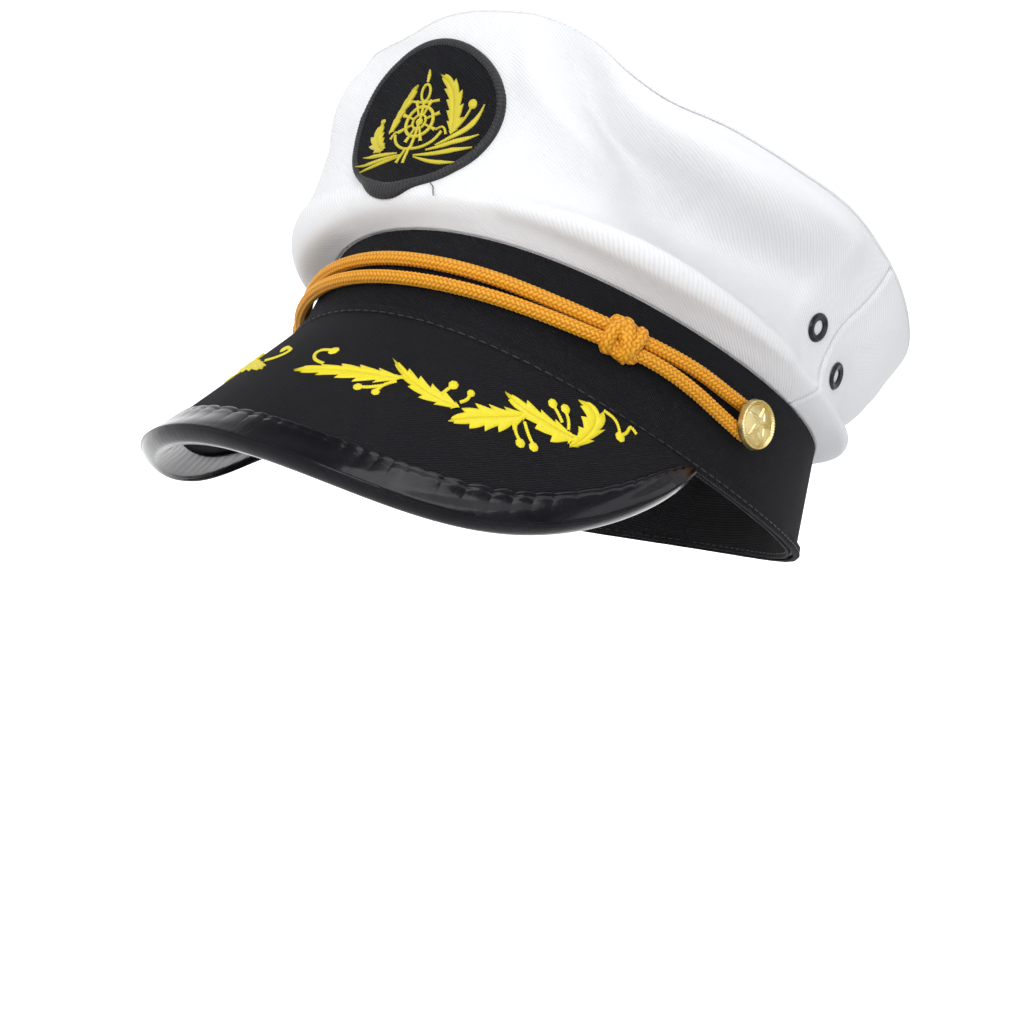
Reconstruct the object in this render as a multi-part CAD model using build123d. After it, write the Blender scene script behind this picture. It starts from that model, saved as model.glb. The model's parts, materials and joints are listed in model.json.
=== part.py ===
from build123d import *
import os
from math import atan, ceil, cos, degrees, hypot, radians, sin, sqrt, tan, tanh

# A soft-topped peaked cap: white cloth crown, black band, sloping cloth-covered visor with a
# patent edge, a doubled chin cord with two sliding knots, and a star button at each side.
# Millimetres. +X is the wearer's left, -Y is the front, +Z is up. The origin is the middle of
# the head opening, level with the lowest point of the band's front edge.

os.makedirs("parts", exist_ok=True)

# ---- band, which sets the head size
band_half_length = 103.0     # outer face at z = 0, front to back
band_half_width = 89.3       # outer face at z = 0, side to side
band_lean_length = 0.119     # how much each half axis shrinks per millimetre of height
band_lean_width = 0.079
band_drop = 15.0             # how far the lower edge hangs at the sides
band_front_height = 34.3     # upper edge on the centre plane, at y = 0
band_top_drop = 8.8          # how far the upper edge hangs at the sides
band_top_rise = 2.1          # rise of the upper edge from the middle to the back
cover_thickness = 0.7
stiffener_thickness = 1.0
sweatband_thickness = 1.2
layer_gap = 0.1              # air between two layers of one body
stiffener_margin = 1.5       # how far the stiffener stops short of the band's edges
sweatband_margin = 5.0       # how far the sweatband stops below the band's upper edge

# ---- crown
crown_overhang_length = 13.0  # how far the seam round the top panel stands out past the band
crown_overhang_width = 18.7
seam_half_length = band_half_length + crown_overhang_length
seam_half_width = band_half_width + crown_overhang_width
seam_centre_y = 3.0
crown_height = 54.3          # seam surface over the band's front height, at the middle
seam_height = band_front_height + crown_height
seam_fall = 0.097            # how much the seam falls per millimetre towards the back
seam_drop = 10.3             # how far it hangs at the sides
crown_cloth = 1.0
panel_gap = 0.3              # between neighbouring panels
lining_gap = 0.8             # between the cloth and what lies behind it
side_seam_angle = 92.5       # where the front panel ends
roll_size = 7.0              # the cloth's roll over the band's upper edge
front_stiffener_thickness = 0.9
front_stiffener_half_angle = 26.0
front_stiffener_top = 0.84   # as a share of the wall's height
tape_thickness = 0.5
tape_width = 9.0

# ---- visor
visor_half_angle = 71.0      # where the visor's corners meet the band
visor_depth = 65.0           # along the slope, at the front
visor_fullness = 3.03        # power of the depth's law: higher is squarer
visor_slope = 56.7           # below horizontal, at the front
visor_slope_gain = 52.4
visor_slope_fall = 69.1
visor_root_gap = 1.0         # from the band's outer face
visor_cover_thickness = 0.6
visor_core_thickness = 1.6
visor_lining_thickness = 0.5
binding_thickness = 0.5
binding_width = 11.6
visor_end = 0.975            # share of the half angle that the layers reach

# ---- chin cord and knots
cord_diameter = 4.0
# stations of the doubled cord: angle, height midway between the strands, gap between the
# strands, and gap between the strands and the band
cord_stations = (
    (73.5, 9.05, 3.7, 0.8), (65.5, 11.1, 2.2, 1.5), (58.0, 11.95, 0.6, 2.2), (50.7, 12.15, 0.3, 2.3),
    (43.4, 12.4, 0.6, 2.2), (35.6, 13.5, 1.0, 1.5), (27.4, 14.75, 1.7, 1.0), (19.2, 15.5, 2.2, 1.0),
    (11.4, 15.95, 2.5, 1.0), (3.8, 16.25, 2.7, 1.0),
)
knot_station = 3             # the station that the knot sits on
knot_length = 15.0
knot_wall = 2.2              # above and below the strands
knot_front_wall = 1.8
knot_back_wall = 0.7
knot_clearance = 0.65        # round each strand
knot_bow = 0.35              # how far the strands bow inside their stations at the knot
loop_band_gap = 0.7          # where the cord goes round a button's shank
loop_shank_gap = 0.8

# ---- side buttons
button_angle = 79.0
button_height = 8.0          # z of the shank
button_diameter = 15.5
button_dome = 1.6
button_rim = 1.1
button_back_thickness = 0.7
button_cord_gap = 0.5        # between the cord's loop and the button's back
shank_diameter = 3.2
shank_clearance = 0.3
washer_diameter = 11.0
washer_thickness = 0.8

# ---- ventilation eyelets
eyelet_flange = 9.4
eyelet_hole = 4.8
eyelet_wall = 0.5
eyelet_front_angle, eyelet_front_share = 86.5, 0.42
eyelet_rear_angle, eyelet_rear_share = 98.5, 0.31

# ---- badge on the crown's front
badge_gap = 4.2              # from the band's front height to the badge
badge_height = 53.0
badge_half_width = 29.0
badge_widest = 31.5          # height of the widest level over the badge's foot
badge_bottom = band_front_height + badge_gap
badge_border = 2.6
badge_layers = {"badge_backing": 0.5, "badge_cloth": 0.8, "badge_thread": 0.7}

far = 400.0
names = []


def save(name, shape):
    export_step(shape, "parts/" + name + ".step")
    names.append(name)


# ---------------------------------------------------------------- band surfaces
def band_axes(z):
    """Half width and half length of the band's outer face at height z."""
    return band_half_width - band_lean_width * z, band_half_length - band_lean_length * z


def band_point(angle, z, out=0.0):
    half_width, half_length = band_axes(z)
    a = radians(angle)
    return Vector((half_width + out) * sin(a), -(half_length + out) * cos(a), z)


def band_normal(angle):
    """Level direction square to the band, outwards."""
    a = radians(angle)
    return Vector(sin(a) / band_half_width, -cos(a) / band_half_length, 0).normalized()


def lower_edge(x):
    return -band_drop * (x / band_half_width) ** 2


def upper_edge(x, y):
    return band_front_height + band_top_rise * y / band_half_length - band_top_drop * (
        x / band_half_width
    ) ** 2


def seam_surface(x, y):
    return seam_height - seam_fall * y - seam_drop * (x / seam_half_width) ** 2


def arch_block(reach, drop, height, rise, thickness=far):
    """Everything from an arched surface upwards: it hangs by drop at x = reach and rises
    by rise for each millimetre towards the back."""
    radius = (reach**2 + drop**2) / (2 * drop)
    side = 1.6 * reach
    low = radius - sqrt(radius**2 - side**2)
    start, end = Vector(-side, -far, -low), Vector(side, -far, -low)
    arc = Edge.make_three_point_arc(start, Vector(0, -far, 0), end)
    up = Vector(0, 0, thickness)
    top = Edge.make_three_point_arc(start + up, Vector(0, -far, 0) + up, end + up)
    walls = [Edge.make_line(end, end + up), Edge.make_line(start + up, start)]
    face = Face(Wire([arc, walls[0], top, walls[1]]))
    block = Solid.extrude(face, Vector(0, 2 * far, 0))
    return Pos(0, 0, height) * Rot(degrees(atan(rise)), 0, 0) * block


def oval_block(out, low=-40.0, high=60.0):
    """The solid inside the band's outer face, moved outwards by out."""
    rings = []
    for z in (low, high):
        half_width, half_length = band_axes(z)
        rings.append(Pos(0, 0, z) * Ellipse(half_width + out, half_length + out))
    return loft(rings, ruled=True)


def band_layer(outer, inner, bottom_margin=0.0, top_margin=0.0):
    shell = oval_block(-outer) - oval_block(-inner)
    shell = shell & arch_block(band_half_width, band_drop, bottom_margin, 0)
    top = arch_block(
        band_half_width, band_top_drop, band_front_height - top_margin, band_top_rise / band_half_length
    )
    return shell - top


# ---------------------------------------------------------------- strips lofted round the cap
def smooth_line(points):
    """Spline with evenly spaced parameters, so that neighbouring lines match."""
    return Edge.make_spline(points, parameters=[i / (len(points) - 1) for i in range(len(points))])


def strip(outer, inner):
    """Closed wire through an outer and an inner line of points, both from the bottom up."""
    edges = [smooth_line(line) for line in (outer, list(reversed(inner)))]
    join_top = Edge.make_line(outer[-1], inner[-1])
    join_bottom = Edge.make_line(inner[0], outer[0])
    return Wire([edges[0], join_top, edges[1], join_bottom])


def sweep_strip(section, start, end, step=11.0):
    count = max(2, ceil((end - start) / step))
    wires = [section(start + (end - start) * i / count) for i in range(count + 1)]
    return Solid.make_loft(wires)


# share of the wall's height, share of its flare, and share of the roll over the band
crown_stations = ((0.0, 0.0, 0.0), (0.1, 0.05, 1.0), (0.22, 0.15, 0.62),
                  (0.5, 0.36, 0.28), (0.72, 0.68, 0.17), (1.0, 1.0, 0.0))


def crown_frame(angle):
    """Foot of the wall at an angle, its level direction outwards, its height and flare."""
    rim = band_point(angle, band_front_height)
    foot = band_point(angle, upper_edge(rim.X, rim.Y))
    out = band_normal(angle)
    # the ray from the foot meets the seam's oval at the flare
    px, py = foot.X / seam_half_width, (foot.Y - seam_centre_y) / seam_half_length
    dx, dy = out.X / seam_half_width, out.Y / seam_half_length
    a, b, c = dx * dx + dy * dy, px * dx + py * dy, px * px + py * py - 1
    flare = (-b + sqrt(b * b - a * c)) / a
    rim = foot + out * flare
    return foot, out, seam_surface(rim.X, rim.Y) - foot.Z, flare


def crown_line(angle, inset):
    """Points up the wall at an angle, moved square to its face by inset."""
    foot, out, height, flare = crown_frame(angle)
    rise = height - 2 * layer_gap
    face = [(flared * flare + rolled * roll_size, share * rise) for share, flared, rolled in crown_stations]
    line = []
    for i, (away, up) in enumerate(face):
        below, above = face[max(i - 1, 0)], face[min(i + 1, len(face) - 1)]
        lean = hypot(above[0] - below[0], above[1] - below[1])
        square = ((above[1] - below[1]) / lean, -(above[0] - below[0]) / lean)
        if i in (0, len(face) - 1):
            square = (1.0, 0.0)
        here = out * (away - inset * square[0]) + Vector(0, 0, up + layer_gap - inset * square[1])
        line.append(foot + here)
    return line


def part_of_line(line, low, high, count=6):
    """Points evenly spaced between two shares of a spline's height."""
    curve = smooth_line(line)
    ends = []
    for share in (low, high):
        target = line[0].Z + share * (line[-1].Z - line[0].Z)
        a, b = 0.0, 1.0
        for _ in range(30):
            mid = (a + b) / 2
            if (curve @ mid).Z < target:
                a = mid
            else:
                b = mid
        ends.append((a + b) / 2)
    return [curve @ (ends[0] + (ends[1] - ends[0]) * i / (count - 1)) for i in range(count)]


def crown_wall(outer, inner, start, end, low=0.0, high=1.0, step=11.0):
    """A piece of the crown's wall between two insets, two angles and two shares of height."""

    def section(angle):
        lines = [crown_line(angle, inset) for inset in (outer, inner)]
        if (low, high) != (0.0, 1.0):
            lines = [part_of_line(line, low, high) for line in lines]
        return strip(*lines)

    return sweep_strip(section, start, end, step)


def crown_place(angle, share):
    """Plane on the crown's outer face, its normal outwards."""

    def point(a, s):
        line = crown_line(a, 0.0)
        return part_of_line(line, s, s + 0.001, 2)[0]

    here = point(angle, share)
    along = point(angle + 0.5, share) - here
    up = point(angle, share + 0.01) - here
    return Plane(origin=here, x_dir=along, z_dir=along.cross(up))


# ---------------------------------------------------------------- visor surface
def visor_frame(angle):
    """Root point, outward direction down the slope, and the surface's normal."""
    height = lower_edge(band_half_width * sin(radians(angle)))
    root = band_point(angle, height, visor_root_gap)
    t = angle / visor_half_angle
    slope = radians(visor_slope + visor_slope_gain * t**2 - visor_slope_fall * t**4)
    out = band_normal(angle)
    down = out * cos(slope) - Vector(0, 0, 1) * sin(slope)
    normal = out * sin(slope) + Vector(0, 0, 1) * cos(slope)
    return root, down, normal


def visor_width(angle):
    return visor_depth * (1 - abs(angle / visor_half_angle) ** visor_fullness)


def visor_point(angle, along, above=0.0):
    root, down, normal = visor_frame(angle)
    return root + down * along + normal * above


def visor_layer(top, bottom, start, edge_inset, reach=visor_end):
    """Sheet between two depths below the visor's upper face."""

    def section(angle):
        root, down, normal = visor_frame(angle)
        width = visor_width(angle) - edge_inset
        corners = [(start, -top), (width, -top), (width, -bottom), (start, -bottom)]
        points = [root + down * s + normal * d for s, d in corners]
        return Wire([Edge.make_line(points[i], points[(i + 1) % 4]) for i in range(4)])

    half = visor_half_angle * reach
    return sweep_strip(section, -half, half, 6.5)


def visor_binding():
    """U-shaped strip folded round the visor's free edge."""
    stack = visor_cover_thickness + visor_core_thickness + visor_lining_thickness + 2 * layer_gap
    high, low = layer_gap, -stack - layer_gap

    def section(angle):
        root, down, normal = visor_frame(angle)
        width = visor_width(angle)
        fold = binding_width * tanh(0.7 * width / binding_width)
        wall = binding_thickness
        corners = [
            (width - fold, high), (width - fold, high + wall), (width, high + wall), (width, low - wall),
            (width - fold, low - wall), (width - fold, low), (width - wall, low), (width - wall, high),
        ]
        points = [root + down * s + normal * d for s, d in corners]
        return Wire([Edge.make_line(points[i], points[(i + 1) % 8]) for i in range(8)])

    half = visor_half_angle * visor_end
    return sweep_strip(section, -half, half, 6.5)


# ---------------------------------------------------------------- embroidery on the visor
embroidery_lift = 0.35
embroidery_height = 0.9


def stitched_leaf(start, end, half_width, samples=5):
    """Lens of thread along a line on the visor; start and end are (angle, along)."""
    wires = []
    for i in range(samples):
        u = 0.06 + 0.88 * i / (samples - 1)
        angle = start[0] + (end[0] - start[0]) * u
        along = start[1] + (end[1] - start[1]) * u
        here = visor_point(angle, along, embroidery_lift)
        ahead = visor_point(angle + (end[0] - start[0]) * 0.02, along + (end[1] - start[1]) * 0.02, embroidery_lift)
        normal = visor_frame(angle)[2]
        forward = (ahead - here).normalized()
        side = normal.cross(forward).normalized()
        w = half_width * sin(radians(180 * u)) ** 0.8 + 0.25
        h = embroidery_height * (0.5 + 0.5 * sin(radians(180 * u)))
        top, left, right = here + normal * h, here - side * w, here + side * w
        wires.append(Wire([Edge.make_three_point_arc(left, top, right), Edge.make_line(right, left)]))
    return Solid.make_loft(wires)


def berry(place, radius=1.3):
    centre = visor_point(place[0], place[1], embroidery_lift)
    normal = visor_frame(place[0])[2]
    return Solid.make_cylinder(radius, embroidery_height, Plane(origin=centre, z_dir=normal))


# leaf: (angle, along) of its stalk end and of its tip, and its half width, with the angles
# laid out for corners at branch_corner
branch_corner = 71.0
branch_leaves = (
    ((17.5, 25.5), (4.2, 34.8), 2.8),
    ((27.2, 21.5), (18.8, 29.0), 3.2),
    ((29.6, 17.0), (20.6, 19.4), 2.4),
    ((36.6, 17.2), (28.6, 30.4), 3.6),
    ((43.6, 12.0), (37.8, 24.6), 3.6),
    ((42.6, 8.2), (34.8, 11.8), 2.4),
    ((47.4, 9.6), (45.6, 21.6), 2.8),
    ((50.6, 5.4), (46.0, 1.8), 1.8),
)
branch_berries = ((8.6, 24.0), (16.0, 32.2), (31.6, 32.6), (38.6, 29.0), (51.6, 12.6), (55.0, 6.8))


def branch(side):
    spread = side * visor_half_angle / branch_corner
    solids = []
    for start, end, half_width in branch_leaves:
        turned = [(spread * a, s) for a, s in (start, end)]
        solids.append(stitched_leaf(turned[0], turned[1], half_width))
    for angle, along in branch_berries:
        solids.append(berry((spread * angle, along)))
    return solids


# ---------------------------------------------------------------- badge
def badge_outline(shrink=0.0):
    """Egg, wider end up, drawn looking at the front: x and z."""
    low, high = badge_bottom + shrink, badge_bottom + badge_height - shrink
    wide = badge_half_width - shrink
    mid = badge_bottom + badge_widest
    curve = [Vector(0, 0, low), Vector(wide, 0, mid), Vector(0, 0, high), Vector(-wide, 0, mid)]
    level, rise = Vector(1, 0, 0), Vector(0, 0, 1)
    tangents = [level * 0.62, rise, -level * 1.1, -rise]
    edges = []
    for i in range(4):
        j = (i + 1) % 4
        edges.append(Edge.make_spline([curve[i], curve[j]], tangents=[tangents[i], tangents[j]]))
    return Face(Wire(edges))


def prism(shape):
    """The outline carried forward from the cap's middle, through the crown's front."""
    return extrude(shape, far, dir=(0, -1, 0))


def badge_layer(low, high):
    return crown_wall(-high, -low, -30, 30, step=6.0)


def disc(x, z, radius):
    return Pos(x, 0, z) * Rot(90, 0, 0) * Circle(radius)


def bar(start, end, width):
    """Straight bar in the badge's plane, from one (x, z) to another."""
    dx, dz = end[0] - start[0], end[1] - start[1]
    length = hypot(dx, dz)
    side = (-dz / length * width / 2, dx / length * width / 2)
    corners = [
        (start[0] + side[0], start[1] + side[1]), (end[0] + side[0], end[1] + side[1]),
        (end[0] - side[0], end[1] - side[1]), (start[0] - side[0], start[1] - side[1]),
    ]
    return Face(Wire.make_polygon([Vector(x, 0, z) for x, z in corners]))


def leaf(start, end, half_width):
    dx, dz = end[0] - start[0], end[1] - start[1]
    length = hypot(dx, dz)
    sx, sz = -dz / length * half_width, dx / length * half_width
    mid = ((start[0] + end[0]) / 2, (start[1] + end[1]) / 2)
    a, b = Vector(start[0], 0, start[1]), Vector(end[0], 0, end[1])
    one = Edge.make_three_point_arc(a, Vector(mid[0] + sx, 0, mid[1] + sz), b)
    two = Edge.make_three_point_arc(b, Vector(mid[0] - sx, 0, mid[1] - sz), a)
    return Face(Wire([one, two]))


# heights in the design are over the badge's foot
anchor_ring, anchor_top, anchor_stock, anchor_foot = 44.5, 42.1, 38.0, 10.0
arms_centre, arms_outer, arms_inner, arms_width = 20.0, 10.6, 10.0, 1.3
wheel_height, wheel_radius, thread_width = 26.5, 5.6, 1.6
# each spray leaf: (x, height) of its foot and of its tip, and its half width, on the wearer's left
spray_leaves = (
    ((4.5, 15.5), (21.5, 23.5), 1.9), ((6.0, 19.0), (21.0, 32.0), 2.0), ((10.5, 24.5), (17.0, 40.5), 2.3),
    ((3.5, 12.0), (17.5, 14.5), 1.8), ((8.0, 21.5), (11.5, 34.5), 1.7),
)


def badge_design():
    """Upright anchor behind a spoked wheel, between two leaf sprays."""
    foot = badge_bottom
    shapes = [bar((0, foot + anchor_foot), (0, foot + anchor_top), thread_width)]
    shapes.append(disc(0, foot + anchor_ring, 2.6) - disc(0, foot + anchor_ring, 1.3))
    stock = foot + anchor_stock
    shapes.append(bar((-5.5, stock), (5.5, stock), thread_width))
    arms = disc(0, foot + arms_centre, arms_outer) - disc(0, foot + arms_centre + arms_width, arms_inner)
    below = Pos(0, 0, foot + arms_centre - arms_outer) * Rot(90, 0, 0) * Rectangle(30, 12)
    shapes.append(arms & below)
    wheel_z = foot + wheel_height
    shapes.append(disc(0, wheel_z, wheel_radius) - disc(0, wheel_z, wheel_radius - thread_width))
    shapes.append(disc(0, wheel_z, 1.9))
    for i in range(8):
        a = radians(22.5 + 45 * i)
        reach = wheel_radius + 2.0
        tip = (reach * cos(a), wheel_z + reach * sin(a))
        shapes.append(bar((0, wheel_z), tip, 1.0))
    for start, end, half_width in spray_leaves:
        for side in (-1, 1):
            stalk, tip = (side * start[0], foot + start[1]), (side * end[0], foot + end[1])
            shapes.append(leaf(stalk, tip, half_width))
    whole = Sketch() + shapes[0]
    for shape in shapes[1:]:
        whole += shape
    return whole


# ---------------------------------------------------------------- chin cord
loop_radius = shank_diameter / 2 + loop_shank_gap + cord_diameter / 2
loop_standoff = cord_diameter / 2 + loop_band_gap
cord_run_share = 0.45


def strand(side, up):
    """Centre points of one strand from a button to the middle, up = 1 above and -1 below."""
    points = []
    for angle, middle, between, clear in cord_stations:
        height = middle + up * (cord_diameter + between) / 2
        points.append(band_point(side * angle, height, clear + cord_diameter / 2))
    return points


def loop_corners(side):
    """The two corners that carry the cord round a button's shank, upper first."""
    centre = band_point(side * button_angle, button_height, loop_standoff)
    rearward = Vector(0, 0, 1).cross(band_normal(side * button_angle)) * side
    corners = []
    for up in (1, -1):
        height = button_height + up * loop_radius
        lean = band_point(side * button_angle, height, loop_standoff) - centre
        corners.append(centre + lean + rearward * loop_radius)
    return corners


def cord_route():
    """One cord: over the front, round one button, back, round the other, ends in the knot."""
    up_points = strand(-1, 1) + list(reversed(strand(1, 1)))
    low_points = strand(1, -1) + list(reversed(strand(-1, -1)))
    ring = up_points + loop_corners(1) + low_points + list(reversed(loop_corners(-1)))
    # both ends stop inside the right-hand knot, on the upper strand
    cut = knot_station
    ahead = (ring[cut + 1] - ring[cut]).normalized()
    middle = ring[cut] + ahead * 0.35
    return [middle] + ring[cut + 1 :] + ring[:cut] + [ring[cut]]


def cord_solid():
    points = cord_route()
    radii = []
    for i in range(1, len(points) - 1):
        before, after = points[i] - points[i - 1], points[i + 1] - points[i]
        turn = before.get_angle(after)
        shorter = min(before.length, after.length)
        radii.append(cord_run_share * shorter / tan(radians(turn / 2)))
    path = FilletPolyline(*points, radius=radii)
    wire = path.wire()
    start = wire.edges()[0]
    section = Plane(origin=points[0], z_dir=points[1] - points[0]) * Circle(cord_diameter / 2)
    tube = sweep(section, path=wire)
    print("cord length", round(wire.length, 1), "smallest radius", round(min(radii), 1))
    print("cord volume", round(tube.volume), "of", round(3.14159 * (cord_diameter / 2) ** 2 * wire.length))
    return tube


def knot(side):
    """Rounded block with a slotted bore for both strands, square to the band."""
    angle, middle, between, clear = cord_stations[knot_station]
    bore_radius = cord_diameter / 2 + knot_clearance
    strand_depth = clear + cord_diameter / 2 - knot_bow
    back = strand_depth - bore_radius - knot_back_wall
    thickness = 2 * bore_radius + knot_back_wall + knot_front_wall
    standoff = back + thickness / 2
    spacing = cord_diameter + between
    ends = []
    for neighbour in (knot_station - 1, knot_station + 1):
        station = cord_stations[neighbour]
        ends.append(band_point(side * station[0], station[1], standoff))
    place = Plane(
        origin=band_point(side * angle, middle, standoff),
        x_dir=ends[1] - ends[0],
        z_dir=band_normal(side * angle),
    )
    body = Box(knot_length, spacing + 2 * (bore_radius + knot_wall), thickness)
    body = fillet(body.edges(), thickness * 0.36)
    bore = Plane.YZ * Pos(0, strand_depth - standoff) * SlotCenterToCenter(spacing, 2 * bore_radius)
    body = body - extrude(bore, knot_length, both=True)
    return place * body


# ---------------------------------------------------------------- side buttons
def button_frame(side):
    centre = band_point(side * button_angle, button_height)
    return Plane(origin=centre, x_dir=(0, 0, 1), z_dir=band_normal(side * button_angle))


def star(outer, inner):
    points = []
    for i in range(10):
        r = outer if i % 2 == 0 else inner
        a = radians(36 * i)
        points.append((r * cos(a), r * sin(a)))
    return make_face(Polyline(*points, close=True))


def button_parts(side):
    frame = button_frame(side)
    button_standoff = loop_standoff + cord_diameter / 2 + button_cord_gap
    radius = button_diameter / 2
    back_top = button_standoff + button_back_thickness
    back = Pos(0, 0, button_standoff) * extrude(
        Circle(radius - 1.0) - Circle(shank_diameter / 2 - 0.4), button_back_thickness
    )
    # shell: dished disc with a raised rope rim and a raised star, seen from its axis
    face = back_top + layer_gap
    profile = Polyline(
        (0, face + 0.9), (radius - 0.9, face + 0.1), (radius - 0.5, face - 0.6), (radius, face - 0.6),
        (radius, face + 0.7), (radius - button_rim * 0.5, face + 1.4), (radius - button_rim, face + 1.0),
        (0, face + button_dome), close=True,
    )
    shell = revolve(Plane.XZ * make_face(profile), Axis.Z)
    ridge = Pos(0, 0, face + 1.0) * extrude(star(radius * 0.66, radius * 0.27), button_dome)
    shell = shell + ridge
    inside = cover_thickness + stiffener_thickness + sweatband_thickness + 2 * layer_gap
    washer_top = -inside - 0.9
    shank_length = button_standoff + button_back_thickness - washer_top + washer_thickness
    shank = Pos(0, 0, washer_top - washer_thickness) * extrude(Circle(shank_diameter / 2 - 0.5), shank_length)
    stop = Pos(0, 0, washer_top) * extrude(Circle(shank_diameter / 2), button_standoff - washer_top)
    shank = shank + stop
    ring = Circle(washer_diameter / 2) - Circle(shank_diameter / 2 - 0.45)
    washer = Pos(0, 0, washer_top - washer_thickness) * extrude(ring, washer_thickness)
    return {"shell": frame * shell, "back": frame * back, "shank": frame * shank, "washer": frame * washer}


def shank_hole(side):
    radius = shank_diameter / 2 + shank_clearance
    return button_frame(side) * Pos(0, 0, -12) * extrude(Circle(radius), 24)


# ---------------------------------------------------------------- eyelets
def eyelet_parts(place):
    barrel = eyelet_hole / 2 + eyelet_wall
    flange = eyelet_flange / 2
    lift = 0.2
    outline = Polyline(
        (eyelet_hole / 2, -crown_cloth - 1.0), (barrel, -crown_cloth - 1.0), (barrel, lift),
        (flange, lift), (flange - 0.3, lift + 0.6), ((flange + barrel) / 2, lift + 0.9),
        (eyelet_hole / 2, lift + 0.5), close=True,
    )
    grommet = revolve(Plane.XZ * make_face(outline), Axis.Z)
    ring = Circle(flange - 0.4) - Circle(barrel + 0.05)
    washer = Pos(0, 0, -crown_cloth - 0.9) * extrude(ring, 0.5)
    inside, outside = -crown_cloth - 0.3, lift - 0.1
    hollow = Polyline(
        (0, inside - 3), (flange, inside - 3), (flange, inside), (barrel + 0.1, inside),
        (barrel + 0.1, outside), (flange + 0.2, outside), (flange + 0.2, outside + 3),
        (0, outside + 3), close=True,
    )
    room = Rot(0, 0, 35) * revolve(Plane.XZ * make_face(hollow), Axis.Z)
    return place * grommet, place * washer, place * room


# ---------------------------------------------------------------- build: band
holes = [shank_hole(side) for side in (1, -1)]
depth = 0.0
band_layers = {
    "hatband_cover": (cover_thickness, 0.0, 0.0),
    "hatband_stiffener": (stiffener_thickness, stiffener_margin, stiffener_margin),
    "sweatband": (sweatband_thickness, 0.5, sweatband_margin),
}
for name, (thickness, bottom_margin, top_margin) in band_layers.items():
    layer = band_layer(depth, depth + thickness, bottom_margin, top_margin)
    save(name, layer - holes[0] - holes[1])
    depth += thickness + layer_gap

# ---------------------------------------------------------------- build: crown
places = {}
for side_name, side in (("left", 1), ("right", -1)):
    places["eyelet_" + side_name + "_front"] = crown_place(side * eyelet_front_angle, eyelet_front_share)
    places["eyelet_" + side_name + "_rear"] = crown_place(side * eyelet_rear_angle, eyelet_rear_share)
eyelets = {name: eyelet_parts(place) for name, place in places.items()}

half_gap = degrees(panel_gap / 2 / band_half_length)
panels = {
    "crown_front_panel": crown_wall(0, crown_cloth, -side_seam_angle + half_gap, side_seam_angle - half_gap),
    "crown_rear_left_panel": crown_wall(0, crown_cloth, side_seam_angle + half_gap, 180 - half_gap),
    "crown_rear_right_panel": crown_wall(0, crown_cloth, -180 + half_gap, -side_seam_angle - half_gap),
}
for name, panel in panels.items():
    wanted = "_front" if "front" in name else ("left_rear" if "left" in name else "right_rear")
    rooms = [pieces[2] for eyelet_name, pieces in eyelets.items() if eyelet_name.endswith(wanted)]
    save(name, panel.cut(*rooms))
for name, (grommet, washer, room) in eyelets.items():
    save(name, grommet)
    save(name + "_washer", washer)

seam_oval = Pos(0, seam_centre_y, -far / 2) * extrude(Ellipse(seam_half_width, seam_half_length), far)
top_sheet = arch_block(seam_half_width, seam_drop, seam_height, -seam_fall, crown_cloth)
save("crown_top_panel", seam_oval & top_sheet)

inner = crown_cloth + lining_gap
save(
    "crown_front_stiffener",
    crown_wall(inner, inner + front_stiffener_thickness, -front_stiffener_half_angle,
               front_stiffener_half_angle, 0.03, front_stiffener_top),
)
tape_half = degrees(tape_width / 2 / seam_half_width)
tapes = [
    crown_wall(inner, inner + tape_thickness, centre - tape_half, centre + tape_half, 0.5, 0.84)
    for centre in (side_seam_angle, 180, -side_seam_angle)
]
save("crown_seam_tapes", Compound(children=tapes))
rim_tapes = [
    crown_wall(inner, inner + tape_thickness, start, end, 0.87, 0.98)
    for start, end in ((-89, 89), (91, 269))
]
save("crown_rim_tape", Compound(children=rim_tapes))

# ---------------------------------------------------------------- build: visor
edge = binding_thickness + layer_gap
core_top = visor_cover_thickness + layer_gap
lining_top = core_top + visor_core_thickness + layer_gap
save("visor_top_cover", visor_layer(0, visor_cover_thickness, -0.4, edge))
save("visor_core", visor_layer(core_top, core_top + visor_core_thickness, 0.5, edge))
save("visor_lining", visor_layer(lining_top, lining_top + visor_lining_thickness, 0.5, edge))
save("visor_binding", visor_binding())
save("visor_branch_left", Compound(children=branch(1)))
save("visor_branch_right", Compound(children=branch(-1)))

# ---------------------------------------------------------------- build: badge
low = 0.15
for name, thickness in badge_layers.items():
    layer = badge_layer(low, low + thickness)
    if name == "badge_thread":
        save("badge_embroidery", layer & prism(badge_design()))
        rim = badge_outline(0) - badge_outline(badge_border)
        save("badge_border", badge_layer(low, low + thickness + 0.4) & prism(rim))
    else:
        save(name, layer & prism(badge_outline(0.3)))
    low += thickness + layer_gap

# ---------------------------------------------------------------- build: cord, knots, buttons
save("chin_cord", cord_solid())
for side_name, side in (("left", 1), ("right", -1)):
    save("knot_" + side_name, knot(side))
    for piece, shape in button_parts(side).items():
        save("button_" + side_name + "_" + piece, shape)

print(len(names), "nodes")
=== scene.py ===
import json
import bpy
import numpy as np
from mathutils import Matrix, Vector


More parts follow.
